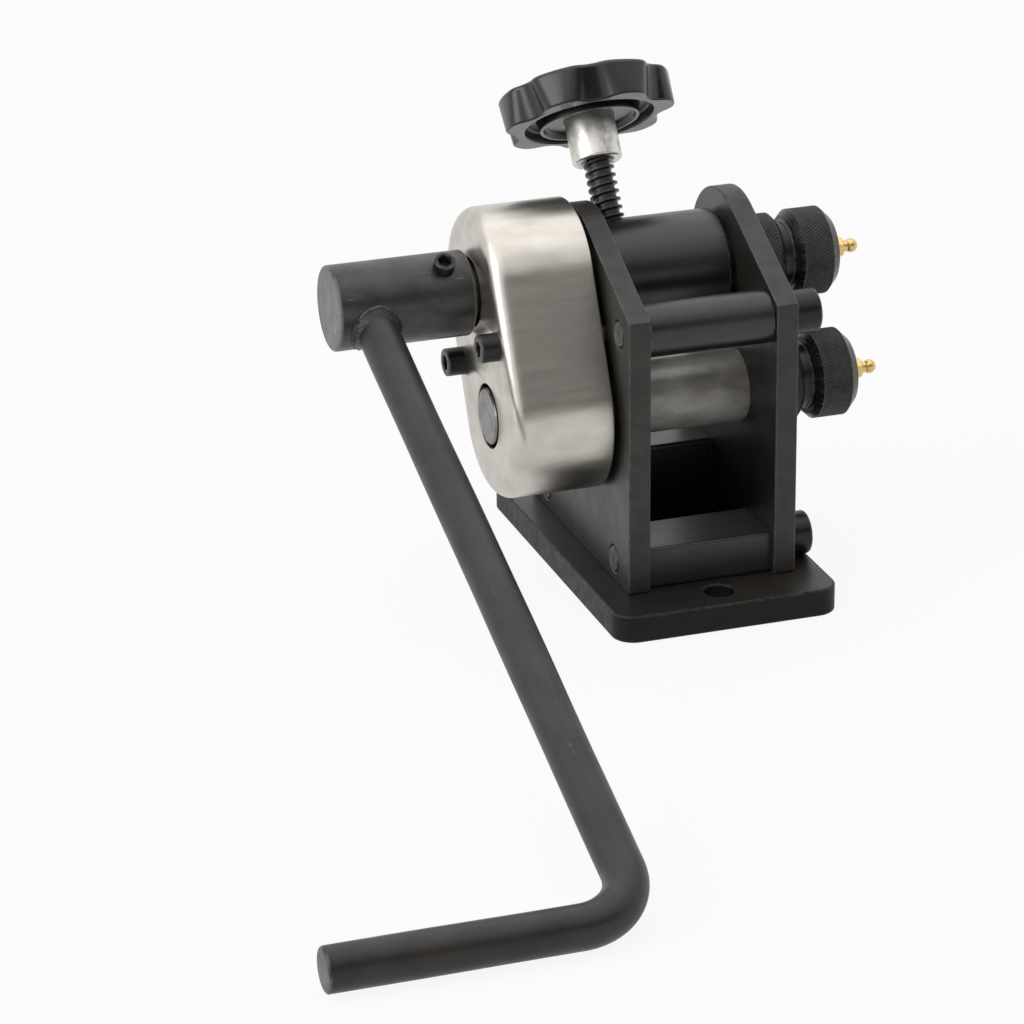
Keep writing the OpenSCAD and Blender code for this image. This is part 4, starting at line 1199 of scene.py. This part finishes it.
@dataclass
class RollerShaft:
    """One shaft's set: the knurled roller, the grease nipple and the pieces that turn inside."""

    row: str
    body: Body
    axis: Axis
    collar_r: float = 15.4
    collar_w: float = 12.5
    collar_chamfer: float = 1.5
    groove_r: float = 11.5
    groove_w: float = 4.7
    inner_chamfer: float = 2.0
    outer_chamfer: float = 3.5
    bore_r: float = 7.02
    knurl_pitch: float = 1.2
    knurl_depth: float = 0.3
    knurl_lean: float = math.radians(30)
    knurl_step: float = 0.2
    knurl_sharpness: float = 1.25
    knurl_fade: float = 0.5
    nipple_af: float = 7.0
    nipple_hex_len: float = 5.6
    nipple_ball_share: float = 0.36
    nipple_neck_share: float = 0.29
    nipple_ball_points: int = 22

    def knurl(self, s: np.ndarray, turn: np.ndarray, radius: float, ends: tuple[float, float]) -> np.ndarray:
        """Depth of a diamond knurl: two sets of grooves cross, one leaning each way.

        Each set has a groove wherever the place along a helix is a whole number of pitches.
        The cut is deepest there, rises evenly to a ridge, and fades out at both ends.
        """
        count = round(TAU * radius / self.knurl_pitch)
        around, lead = count * turn / TAU, s * math.tan(self.knurl_lean) / self.knurl_pitch
        cuts = [1 - 2 * np.abs((around + side * lead) % 1 - 0.5) for side in (-1, 1)]
        rise = np.minimum(self.knurl_sharpness * np.minimum(*cuts), 1.0)
        fade = np.clip(np.minimum(s - ends[0], ends[1] - s) / self.knurl_fade, 0, 1)
        return self.knurl_depth * (1 - rise) * fade

    def sides(self, radius: float) -> int:
        """Points round a knurled cylinder: six for each pitch of the knurl."""
        return 6 * round(TAU * radius / self.knurl_pitch)

    def knurled(self, shell: Shell, start: float, end: float, radius: float) -> None:
        """Adds a knurled cylinder from start to end."""
        turn = full_turn(self.sides(radius))
        s = np.linspace(start, end, round((end - start) / self.knurl_step) + 1)[:, None]
        depth = self.knurl(s, turn, radius, (start, end))
        shell.loft(self.axis, s, polar(turn, radius - depth), 1 - depth / self.knurl_depth, slot=1)

    def roller(self) -> None:
        """Builds the roller: narrow collar, groove and wide roller, turned and then knurled."""
        node = f"{self.row}_roller"
        low, high = corners(node)
        start, wide = float(low[0]), self.axis.radius(node)
        groove = start + self.collar_w
        second = groove + self.groove_w
        end = float(high[0])
        shell = Shell()
        self.knurled(shell, start + self.collar_chamfer, groove - self.collar_chamfer, self.collar_r)
        self.knurled(shell, second + self.inner_chamfer, end - self.outer_chamfer, wide)
        first = rounded([(start, self.bore_r, 0), (start, self.collar_r - self.collar_chamfer, 0.3),
                         (start + self.collar_chamfer, self.collar_r, 0)])
        neck = rounded([(groove - self.collar_chamfer, self.collar_r, 0),
                        (groove, self.collar_r - self.collar_chamfer, 0.3), (groove, self.groove_r, 0.8),
                        (groove + self.groove_w / 2, self.groove_r, 0)])
        rise = rounded([(groove + self.groove_w / 2, self.groove_r, 0), (second, self.groove_r, 0.8),
                        (second, wide - self.inner_chamfer, 0.4), (second + self.inner_chamfer, wide, 0)])
        last = rounded([(end - self.outer_chamfer, wide, 0), (end, wide - self.outer_chamfer, 0.5),
                        (end, self.bore_r, 0), (start, self.bore_r, 0)])
        for rows, radius in ((first, self.collar_r), (neck, self.collar_r), (rise, wide), (last, wide)):
            shell.turn(self.axis, rows, sides=self.sides(radius))
        shell.stand_for(node, self.body, BLACK_SCREW, KNURLED)

    def nipple(self) -> None:
        """Builds the grease nipple: hexagon, neck and ball, with its dark inlet."""
        node = f"{self.row}_grease_nipple"
        _, high = corners(node)
        seat, tip = float(corners(f"{self.row}_roller")[1][0]), float(high[0])
        flat = self.nipple_af / 2
        ball, neck = self.nipple_ball_share * self.nipple_af, self.nipple_neck_share * self.nipple_af
        centre = tip - ball
        hexagon = seat + self.nipple_hex_len
        turn = np.linspace(math.pi * 0.72, 0.12, self.nipple_ball_points)
        head = np.column_stack([centre + ball * np.cos(turn), ball * np.sin(turn), np.zeros(len(turn))])
        waist = rounded([(hexagon, flat * 0.8, 0.2), (hexagon + 0.4, neck, 0.3),
                         (head[0, 0], head[0, 1], 0)])[1:-1]
        chamfer = np.array([(hexagon - 0.5, flat * 1.02, 0.0), (hexagon, flat * 0.92, 0.0)])
        body = np.array([(seat, 0.0, 0.0), (seat, flat * 0.92, 0.0), (seat + 0.5, flat, 0.0),
                         (hexagon - 0.6, flat, 0.0)])
        inlet = np.array([(tip - 0.05, 0.3, 0.0), (tip - 0.5, 0.0, 0.0)])
        rows = np.vstack([body, chamfer, waist, head, inlet])
        forms = [Section.ROUND] * 2 + [Section.HEXAGON] * 2 + [Section.ROUND] * (len(rows) - 4)
        shell = Shell()
        shell.turn(self.axis, rows, forms, sides=72)
        shell.stand_for(node, self.body, TURNED_BRASS)

    def build(self) -> None:
        """Builds the roller and the nipple, and dresses the rest of the set."""
        self.roller()
        self.nipple()
        gear = "drive_gear" if self.body is Body.DRIVE else "driven_gear"
        dress(MACHINED_STEEL, f"{self.row}_shaft", gear, f"{gear}_key")
        dress(BLACK_SCREW, f"{self.row}_roller_screw", f"{self.row}_retaining_ring")
        dress(TURNED_BRASS, f"{self.row}_thrust_washer")


@dataclass
class Adjuster:
    """The adjusting screw with its collar and lobed knob."""

    thread_d: float = 10.8
    thread_depth: float = 1.3
    thread_pitch: float = 3.0
    crest_share: float = 0.5
    thread_steps: int = 20
    tip_d: float = 8.0
    tip_len: float = 4.2
    core_r: float = 3.9
    thread_sides: int = 72
    thread_overrun: float = 1.0
    collar_hollow: float = 1.5
    collar_edge_r: float = 1.0
    lobes: int = 7
    lie: float = math.radians(2.5)
    notch_depth: float = 5.0
    notch_top: float = 2.0
    notch_r: float = 9.0
    lobe_edge_r: float = 7.0
    top_edge_r: float = 1.6
    foot_edge_r: float = 0.6
    dome: float = 5.0
    crown: float = 3.9
    skirt: float = 0.8
    groove_r: float = 23.5
    groove_depth: float = 3.6
    boss_r: float = 18.0
    boss_sink: float = -0.6
    boss_rim: float = 1.1
    boss_hollow: float = 1.2

    @property
    def axis(self) -> Axis:
        """The screw's axis, which leaves the upper shaft's axis at the screw's place."""
        x = float(middle("adjusting_screw")[0])
        return Axis((x, *UPPER_AXIS.origin[1:]), SCREW_DIRECTION)

    def screw(self) -> None:
        """Builds the screw: a helix whose radius follows the phase of its thread.

        The phase is the height in pitches less the turn. The crest is flat over half a pitch,
        with rounded shoulders, and the root between crests is a smooth hollow.
        """
        axis = self.axis
        start, end = axis.reach("adjusting_screw")
        collar = axis.reach("screw_collar")[0]
        thread_start, thread_end = start + self.tip_len, collar + self.thread_overrun
        rows = round((thread_end - thread_start) / self.thread_pitch * self.thread_steps)
        s = np.linspace(thread_start, thread_end, rows + 1)[:, None]
        turn = full_turn(self.thread_sides)
        phase = (s / self.thread_pitch - turn / TAU) % 1
        away = np.abs(phase - 0.5) * 2
        rise = np.clip((away - (1 - self.crest_share)) / self.crest_share * 1.6, 0, 1)
        smooth = rise * rise * (3 - 2 * rise)
        ends = np.clip((s - thread_start) / self.thread_pitch, 0, 1)
        reach = self.thread_d / 2 - self.thread_depth * (1 - smooth * ends)
        loops = polar(turn, reach)
        shell = Shell()
        shell.loft(axis, s, loops, 0.8 * smooth * ends)
        tip = self.tip_d / 2
        shell.turn(axis, rounded([(start, 0, 0), (start, tip, 0.6), (thread_start, tip, 0),
                                  (thread_start, float(reach[0, 0]), 0)]), sides=self.thread_sides)
        core = np.array([(thread_end, self.core_r, 0.0), (end, self.core_r, 0.0), (end, 0.0, 0.0)])
        shell.turn(axis, core, sides=self.thread_sides)
        shell.loft(axis, thread_end, np.stack([loops[-1], polar(turn, self.core_r)]))
        shell.stand_for("adjusting_screw", Body.ADJUSTER, BLACK_SCREW)

    def collar(self) -> None:
        """Builds the pale collar, with a rim and a hollow round the screw."""
        axis = self.axis
        start, end = axis.reach("screw_collar")
        radius, bore = axis.radius("screw_collar"), self.thread_d / 2 + 0.2
        floor, core = start + self.collar_hollow, self.core_r + 0.1
        rows = rounded([(floor, core, 0), (floor, bore, 0.2), (start, bore + 0.6, 0.3),
                        (start, radius, self.collar_edge_r), (end, radius, 0.3), (end, core, 0),
                        (floor, core, 0)])
        shell = Shell()
        shell.turn(axis, rows)
        shell.stand_for("screw_collar", Body.ADJUSTER, STAINED_ALUMINIUM)

    def outline(self, radius: float, draw: float, depth: float) -> np.ndarray:
        """The knob's outline drawn in: lobes on a circle, with round notches between them.

        Each notch is an arc about a point outside the circle, and meets the lobes on either
        side in smaller arcs that touch both it and the circle.
        """
        notch_c = radius - depth + self.notch_r
        edge_c = radius - self.lobe_edge_r
        touching = self.notch_r + self.lobe_edge_r
        half = math.acos((notch_c**2 + edge_c**2 - touching**2) / (2 * notch_c * edge_c))
        low = edge_c * np.array([math.cos(half), -math.sin(half)])
        high = low * np.array([1, -1])
        reach = math.atan2(high[1], high[0] - notch_c)
        edge, notch = self.lobe_edge_r - draw, self.notch_r + draw

        def arc(centre: np.ndarray, r: float, a: float, b: float, count: int) -> np.ndarray:
            """Points of an arc from turn a to turn b."""
            return centre + polar(np.linspace(a, b, count), r)

        rim = radius - draw
        one = np.vstack([
            arc(low, edge, -half, math.pi - reach, 9),
            arc(np.array([notch_c, 0.0]), notch, -reach, reach - TAU, 21)[1:-1],
            arc(high, edge, reach - math.pi, half, 9),
        ])
        lobe = arc(np.zeros(2), rim, half, TAU / self.lobes - half, 16)[1:-1]
        part = np.vstack([one, lobe])
        turns = np.arange(self.lobes) * TAU / self.lobes + self.lie
        cos, sin = np.cos(turns), np.sin(turns)
        rotate = np.stack([np.stack([cos, -sin], -1), np.stack([sin, cos], -1)], 1)
        return np.einsum("kij,nj->kni", rotate, part).reshape(-1, 2)

    def knob(self) -> None:
        """Builds the knob: its lobed outline carried up the side, under a low dome.

        The notches grow shallower towards the top.
        Underneath, the outline closes onto a ring groove, and a boss stands inside the groove.
        """
        axis = self.axis
        foot, top = axis.reach("adjusting_knob")
        foot -= self.skirt
        radius = axis.radius("adjusting_knob")
        shoulder = top + self.crown - self.dome
        top_r, foot_r = self.top_edge_r, self.foot_edge_r
        rim = [(shoulder - top_r * (1 - math.sin(t)), top_r * (1 - math.cos(t))) for t in quarter_turn(9)]
        low = [(foot + foot_r * (1 - math.sin(t)), foot_r * (1 - math.cos(t)))
               for t in quarter_turn(BEVEL_STEPS)[::-1]]
        side = [(foot + foot_r + GUARD, 0.0), (shoulder - top_r - GUARD, 0.0)]
        levels = [(foot, foot_r + GUARD), *low, *side, *rim]
        fall = (self.notch_top - self.notch_depth) / (shoulder - foot)
        loops = [(s, self.outline(radius, draw, self.notch_depth + fall * (s - foot))) for s, draw in levels]
        lobed = loops[-1][1]
        shares = np.linspace(1, 0, 12)[1:]
        dome = [(shoulder + self.dome * (1 - share**2), lobed * share) for share in shares]
        ring = polar(np.arctan2(loops[0][1][:, 1], loops[0][1][:, 0]), 1.0)
        collar_r = axis.radius("screw_collar") + 0.1
        depths = (self.boss_hollow, self.boss_sink, self.groove_depth)
        boss_floor, boss_top, groove_floor = (foot + depth for depth in depths)
        groove = rounded([
            (boss_floor + 1, self.core_r, 0), (boss_floor + 1, collar_r, 0), (boss_floor, collar_r, 0.3),
            (boss_floor, self.boss_r - self.boss_rim - 0.8, 0.8),
            (boss_top, self.boss_r - self.boss_rim, 0.3),
            (boss_top, self.boss_r, 0.3), (groove_floor, self.boss_r + 0.5, 0.8),
            (groove_floor, self.groove_r - 0.9, 0.8), (foot, self.groove_r, 0.6),
            (foot, self.groove_r + 1.0, 0),
        ])
        under = [(s, r * ring) for s, r, _ in groove]
        stack = under + loops + dome
        flat = np.array([loop for _, loop in stack])
        shell = Shell()
        shell.loft(axis, np.array([s for s, _ in stack])[:, None], flat)
        bottom, core = under[0]
        shell.face([core], lambda points: axis.place(bottom, points[:, 0], points[:, 1]))
        shell.stand_for("adjusting_knob", Body.ADJUSTER, BLACK_PHENOLIC)

    def build(self) -> None:
        """Builds the screw, the collar and the knob."""
        self.screw()
        self.collar()
        self.knob()


@dataclass
class Crank:
    """The crank: hub, set screw, bent bar and the weld between hub and bar."""

    hub_edge_r: float = 0.8
    bore_r: float = 10.02
    end_t: float = 10.0
    screw_inset: float = 10.0
    screw_turn: float = math.radians(32)
    screw_d: float = 7.6
    screw_proud: float = 4.0
    bar_d: float = 14.5
    bar_edge_r: float = 0.9
    arm_inset: float = 13.0
    arm_len: float = 296.0
    bend_r: float = 20.0
    bar_step: float = 2.0
    bar_dent: float = 0.09
    bar_sides: int = 64
    bend_points: int = 24
    bar_edge_points: int = 6
    swell_lengths: tuple[float, float, float] = (17.0, 41.0, 29.0)
    weld_w: float = 1.9
    weld_rise: float = 3.2
    weld_h: float = 3.6
    weld_ripples: int = 26
    weld_crest: float = 0.75
    weld_sides: int = 240

    @property
    def hub_r(self) -> float:
        """The hub's radius."""
        return box_radius("crank_hub")

    def hub(self) -> None:
        """Builds the hub: a bush that is closed at its outer end."""
        low, high = corners("crank_hub")
        start, end = float(low[0]), float(high[0])
        radius, edge = self.hub_r, self.hub_edge_r
        face = np.array([(start, 0.0, 0.85), (start, radius * 0.55, 0.8), (start, radius - edge - 0.6, 0.5)])
        floor = start + self.end_t
        rest = rounded([(start, radius - edge - 0.4, 0), (start, radius, edge), (end, radius, edge),
                        (end, self.bore_r, 0.4), (floor, self.bore_r, 0), (floor, 0, 0)])
        shell = Shell()
        shell.turn(UPPER_AXIS, np.vstack([face, rest]), sides=120)
        shell.stand_for("crank_hub", Body.DRIVE, LIT_BLACK_BUSH)

    def set_screw(self) -> None:
        """Builds the set screw: a headless screw with a hexagonal socket."""
        x = float(corners("crank_hub")[1][0]) - self.screw_inset
        out = (0.0, -math.sin(self.screw_turn), math.cos(self.screw_turn))
        axis = Axis((x, *UPPER_AXIS.origin[1:]), out)
        radius, top = self.screw_d / 2, self.hub_r + self.screw_proud
        flat = radius * 0.6
        body = rounded([(self.bore_r, 0, 0), (self.bore_r, radius, 0.5), (top, radius, 0.45),
                        (top, flat + 0.5, 0)])
        socket = np.array([(top, flat + 0.15, 1.0), (top - 0.2, flat, 0.5), (top - 3.4, flat, 0.0),
                           (top - 3.8, 0.0, 0.0)])
        forms = [Section.ROUND] * len(body) + [Section.HEXAGON] * 3 + [Section.ROUND]
        shell = Shell()
        shell.turn(axis, np.vstack([body, socket]), forms, sides=60)
        shell.stand_for("hub_set_screw", Body.DRIVE, BLACK_SCREW)

    @property
    def arm(self) -> tuple[np.ndarray, np.ndarray, np.ndarray]:
        """Where the arm leaves the hub's axis, its direction, and the direction square to it."""
        low, _ = corners("crank_handle")
        x = float(corners("crank_hub")[0][0]) + self.arm_inset
        grip_z = float(low[2]) + self.bar_d / 2
        drop = math.asin((UPPER_AXIS.origin[2] - grip_z) / self.arm_len)
        down = np.array([0.0, -math.cos(drop), -math.sin(drop)])
        return np.array([x, *UPPER_AXIS.origin[1:]]), down, np.array([0.0, -down[2], down[1]])

    def bar(self) -> None:
        """Builds the bar: a round section carried down the arm, round the bend and along the grip.

        The first ring is cut to the hub: it starts where the distance from the hub's axis is
        the hub's radius. Low swells along the bar, a few hundredths high, break its reflections.
        """
        start, down, square = self.arm
        radius, bend = self.bar_d / 2, self.bend_r
        grip_end = start[0] - float(corners("crank_handle")[0][0])
        out = np.array([-1.0, 0.0, 0.0])
        first = self.hub_r + 1.0
        arm = np.linspace(first, self.arm_len - bend, round((self.arm_len - bend - first) / self.bar_step))
        turn = quarter_turn(self.bend_points + 1)[1:]
        edge = self.bar_edge_r
        grip = np.linspace(bend, grip_end - edge - GUARD, round((grip_end - bend) / self.bar_step))[1:]
        edge_turn = quarter_turn(self.bar_edge_points)
        level_rings = len(grip) + len(edge_turn) + 1
        down_run = np.concatenate([arm, self.arm_len - bend + bend * np.sin(turn),
                                   np.full(level_rings, self.arm_len)])
        out_run = np.concatenate([np.zeros(len(arm)), bend * (1 - np.cos(turn)), grip,
                                  grip_end - edge * (1 - np.sin(edge_turn)), [grip_end]])
        draw = np.concatenate([np.zeros(len(arm) + len(turn) + len(grip)), edge * (1 - np.cos(edge_turn)),
                               [edge + 0.5]])
        heading = np.concatenate([np.zeros(len(arm)), turn, np.full(level_rings, math.pi / 2)])
        step = np.hypot(np.diff(down_run, prepend=down_run[0]), np.diff(out_run, prepend=out_run[0]))
        run = (first + np.cumsum(step))[:, None]
        around = full_turn(self.bar_sides)
        short, long, other = self.swell_lengths
        swell = self.bar_dent * (np.sin(run / short + 2 * around) * np.sin(run / long)
                                 + np.sin(run / other - around))
        reach = radius - draw[:, None] + swell * (draw[:, None] == 0)
        inward = -np.sin(heading)[:, None] * down + np.cos(heading)[:, None] * out
        centre = start + down_run[:, None] * down + out_run[:, None] * out
        ring = np.cos(around)[None, :, None] * inward[:, None, :] + np.sin(around)[None, :, None] * square
        points = centre[:, None, :] + reach[..., None] * ring
        saddle_r = np.array([1.0, 0.66, 0.33, 0.0])[::-1, None] * reach[0]
        foot = np.sqrt(self.hub_r**2 - (saddle_r * np.sin(around)) ** 2) + 0.02
        saddle = start + foot[..., None] * down + saddle_r[..., None] * ring[0]
        a, b = reach * np.cos(around), reach * np.sin(around)
        grain = np.stack([np.broadcast_to(run, a.shape), a, b], axis=-1)
        saddle_grain = np.stack([foot, saddle_r * np.cos(around), saddle_r * np.sin(around)], axis=-1)
        wear = np.where(draw > 0, 0.9, 0.0)[:, None] * np.ones(self.bar_sides)
        shell = Shell()
        shell.grid(np.concatenate([saddle, points]), np.concatenate([saddle_grain, grain]),
                   np.concatenate([np.zeros(saddle.shape[:2]), wear]))
        end_disc = np.stack([points[-1], np.broadcast_to(centre[-1], points[-1].shape)])
        end_grain = np.stack([grain[-1], np.broadcast_to(grain[-1].mean(axis=0), grain[-1].shape)])
        shell.grid(end_disc, end_grain, 0.5)
        shell.stand_for("crank_handle", Body.DRIVE, BLACK_BAR)

    def weld(self) -> None:
        """Builds the weld bead: a hollow cone round the bar's foot, with a rippled crest at its toe.

        The section runs from a toe on the hub to a toe on the bar and closes inside both. Its
        height is a power of the share of the way in, which makes it hollow. A narrow crest
        near the toe rises and falls with a ripple for each dab of the torch, and slower lumps
        push the toe in and out. Above the bar the bead is wider.
        """
        start, down, square = self.arm
        out = np.array([-1.0, 0.0, 0.0])
        radius = self.bar_d / 2
        sides = self.weld_sides
        around = full_turn(sides)
        share = np.linspace(0, 1, 25)[:, None]
        lumps = 0.5 * np.sin(3 * around + 0.7) + 0.35 * np.sin(7 * around + 2.1)
        ripple = np.abs(np.sin(self.weld_ripples / 2 * around + 0.5 * lumps))
        width = self.weld_w * (1 + 0.1 * lumps) + self.weld_rise * np.maximum(np.sin(around), 0) ** 2
        height = self.weld_h * (1 + 0.08 * np.roll(lumps, 31))
        crest = self.weld_crest * np.exp(-(((share - 0.13) / 0.09) ** 2)) * (0.35 + 0.65 * ripple)
        dents = 0.12 * np.sin(11 * around + 9 * share) * np.sin(math.pi * share)
        outwards = radius - 0.15 + width * (1 - share) + 0.35 * crest + dents
        lift = height * share**1.35 + crest
        outwards = np.vstack([outwards, np.full((2, sides), radius - 0.6), outwards[:1] - 0.3])
        lift = np.vstack([lift, np.full((1, sides), self.weld_h * 0.8), np.full((2, sides), -1.5)])
        foot = np.sqrt(np.maximum(self.hub_r**2 - (outwards * np.sin(around)) ** 2, 1.0))
        ring = np.cos(around)[:, None] * out + np.sin(around)[:, None] * square
        points = start + (foot + lift)[..., None] * down + outwards[..., None] * ring
        wear = np.vstack([np.minimum(crest / self.weld_crest, 1.0), np.zeros((3, sides))])
        shell = Shell()
        shell.grid(points, wear=wear, closed=True)
        shell.piece("crank_weld_bead", Body.DRIVE, (BLACK_WELD,))

    def build(self) -> None:
        """Builds the crank's pieces."""
        self.hub()
        self.set_screw()
        self.bar()
        self.weld()


def card(name: str, half_w: float, half_h: float) -> bpy.types.Mesh:
    """A level rectangle about the origin, from half its width and height in millimetres."""
    mesh = bpy.data.meshes.new(name)
    w, h = half_w * MM, half_h * MM
    mesh.from_pydata([(-w, -h, 0), (w, -h, 0), (w, h, 0), (-w, h, 0)], [], [(0, 1, 2, 3)])
    return mesh


def face_point(obj: bpy.types.Object, place: Sequence[float], aim: Sequence[float]) -> None:
    """Puts a lamp or a flag at a place, facing a point, both in millimetres."""
    obj.location = Vector(place) * MM
    obj.rotation_euler = (Vector(aim) - Vector(place)).to_track_quat("-Z", "Y").to_euler()


@dataclass
class Studio:
    """The camera, a pale floor and plain soft studio light."""

    camera_place: tuple[float, float, float] = (-508.815, -1347.177, 612.232)
    camera_turn: tuple[float, float, float] = (67.5729, 0.4927, -18.8257)
    lens: float = 151.638
    shift: tuple[float, float] = (-0.00478, -0.00151)
    floor_r: float = 8000.0
    floor_colour: str = "#f4f4f4"
    floor_glow: float = 0.9
    world_level: float = 0.38
    flag_colour: str = "#7a7876"

    def camera(self) -> None:
        """Makes the camera that stands where the photograph was taken from."""
        data = bpy.data.cameras.new("camera")
        data.lens = self.lens
        data.shift_x, data.shift_y = self.shift
        data.clip_start, data.clip_end = 0.05, 50.0
        camera = placed("camera", data)
        camera.location = [v * MM for v in self.camera_place]
        camera.rotation_euler = [math.radians(v) for v in self.camera_turn]
        bpy.context.scene.camera = camera

    def floor(self) -> None:
        """Makes the pale floor, which keeps the object's soft shadow."""
        mesh = card("floor", self.floor_r, self.floor_r)
        paint = bpy.data.materials.new("floor_paint")
        tree = empty_tree(paint)
        matt = add(tree, "BsdfDiffuse", {"Color": linear(self.floor_colour)})
        glow = add(tree, "Emission", {"Color": WHITE, "Strength": 1.0})
        path = add(tree, "LightPath").outputs
        seen = joined(tree, Join.EITHER, path["Is Camera Ray"], path["Is Glossy Ray"])
        both = add(tree, "MixShader", {0: joined(tree, Join.BOTH, seen, self.floor_glow),
                                       1: matt.outputs["BSDF"], 2: glow.outputs["Emission"]})
        add(tree, "OutputMaterial", {"Surface": both.outputs["Shader"]})
        mesh.materials.append(paint)
        floor = placed("floor", mesh)

    def lamp(self, name: str, place: Sequence[float], aim: Sequence[float], size: tuple[float, float],
             power: float) -> None:
        """Makes a soft rectangular lamp at a place, aimed at a point, both in millimetres."""
        data = bpy.data.lights.new(name, "AREA")
        data.shape = "RECTANGLE"
        data.size, data.size_y = size[0] * MM, size[1] * MM
        data.energy = power
        face_point(placed(name, data), place, aim)

    def world(self) -> None:
        """Makes the world: white where it is seen or mirrored, and plain fill light elsewhere."""
        world = bpy.data.worlds.new("studio")
        bpy.context.scene.world = world
        tree = empty_tree(world)
        path = add(tree, "LightPath").outputs
        fill = add(tree, "Background", {"Color": WHITE, "Strength": self.world_level})
        white = add(tree, "Background", {"Color": WHITE, "Strength": 1.0})
        seen = joined(tree, Join.EITHER, path["Is Camera Ray"], path["Is Glossy Ray"],
                      path["Is Transmission Ray"])
        mix = add(tree, "MixShader", {0: seen, 1: fill.outputs["Background"], 2: white.outputs["Background"]})
        add(tree, "OutputWorld", {"Surface": mix.outputs["Shader"]})

    def flag(self, name: str, place: Sequence[float], aim: Sequence[float],
             size: tuple[float, float]) -> None:
        """Makes a dark studio flag that is only seen in reflections, facing a point."""
        mesh = card(name, size[0] / 2, size[1] / 2)
        cloth = bpy.data.materials.new(name)
        tree = empty_tree(cloth)
        matt = add(tree, "BsdfDiffuse", {"Color": linear(self.flag_colour)})
        add(tree, "OutputMaterial", {"Surface": matt.outputs["BSDF"]})
        mesh.materials.append(cloth)
        flag = placed(name, mesh)
        face_point(flag, place, aim)
        flag.visible_camera = False
        flag.visible_shadow = False

    def build(self) -> None:
        """Sets up the camera, the floor, the world, the lamps and the flag."""
        self.camera()
        self.floor()
        self.world()
        self.lamp("top_lamp", (-100, 200, 1500), (0, 0, 60), (3000, 2200), 13.0)
        self.lamp("left_lamp", (-1500, -300, 700), (0, 0, 60), (900, 1200), 10.0)
        self.flag("dark_flag", (500, -1900, 1000), (0, 0, 80), (3600, 1000))
        bpy.context.scene.view_settings.view_transform = "Standard"


def main() -> None:
    """Builds the studio and the object."""
    Studio().build()
    cover = GearCover()
    Base().build()
    SidePlates().build(cover.screw_places())
    cover.build()
    RollerShaft("upper", Body.DRIVE, UPPER_AXIS).build()
    RollerShaft("lower", Body.DRIVEN, LOWER_AXIS).build()
    Adjuster().build()
    Crank().build()


if __name__ == "__main__":
    logging.basicConfig(level=logging.INFO, format="%(message)s")
    main()
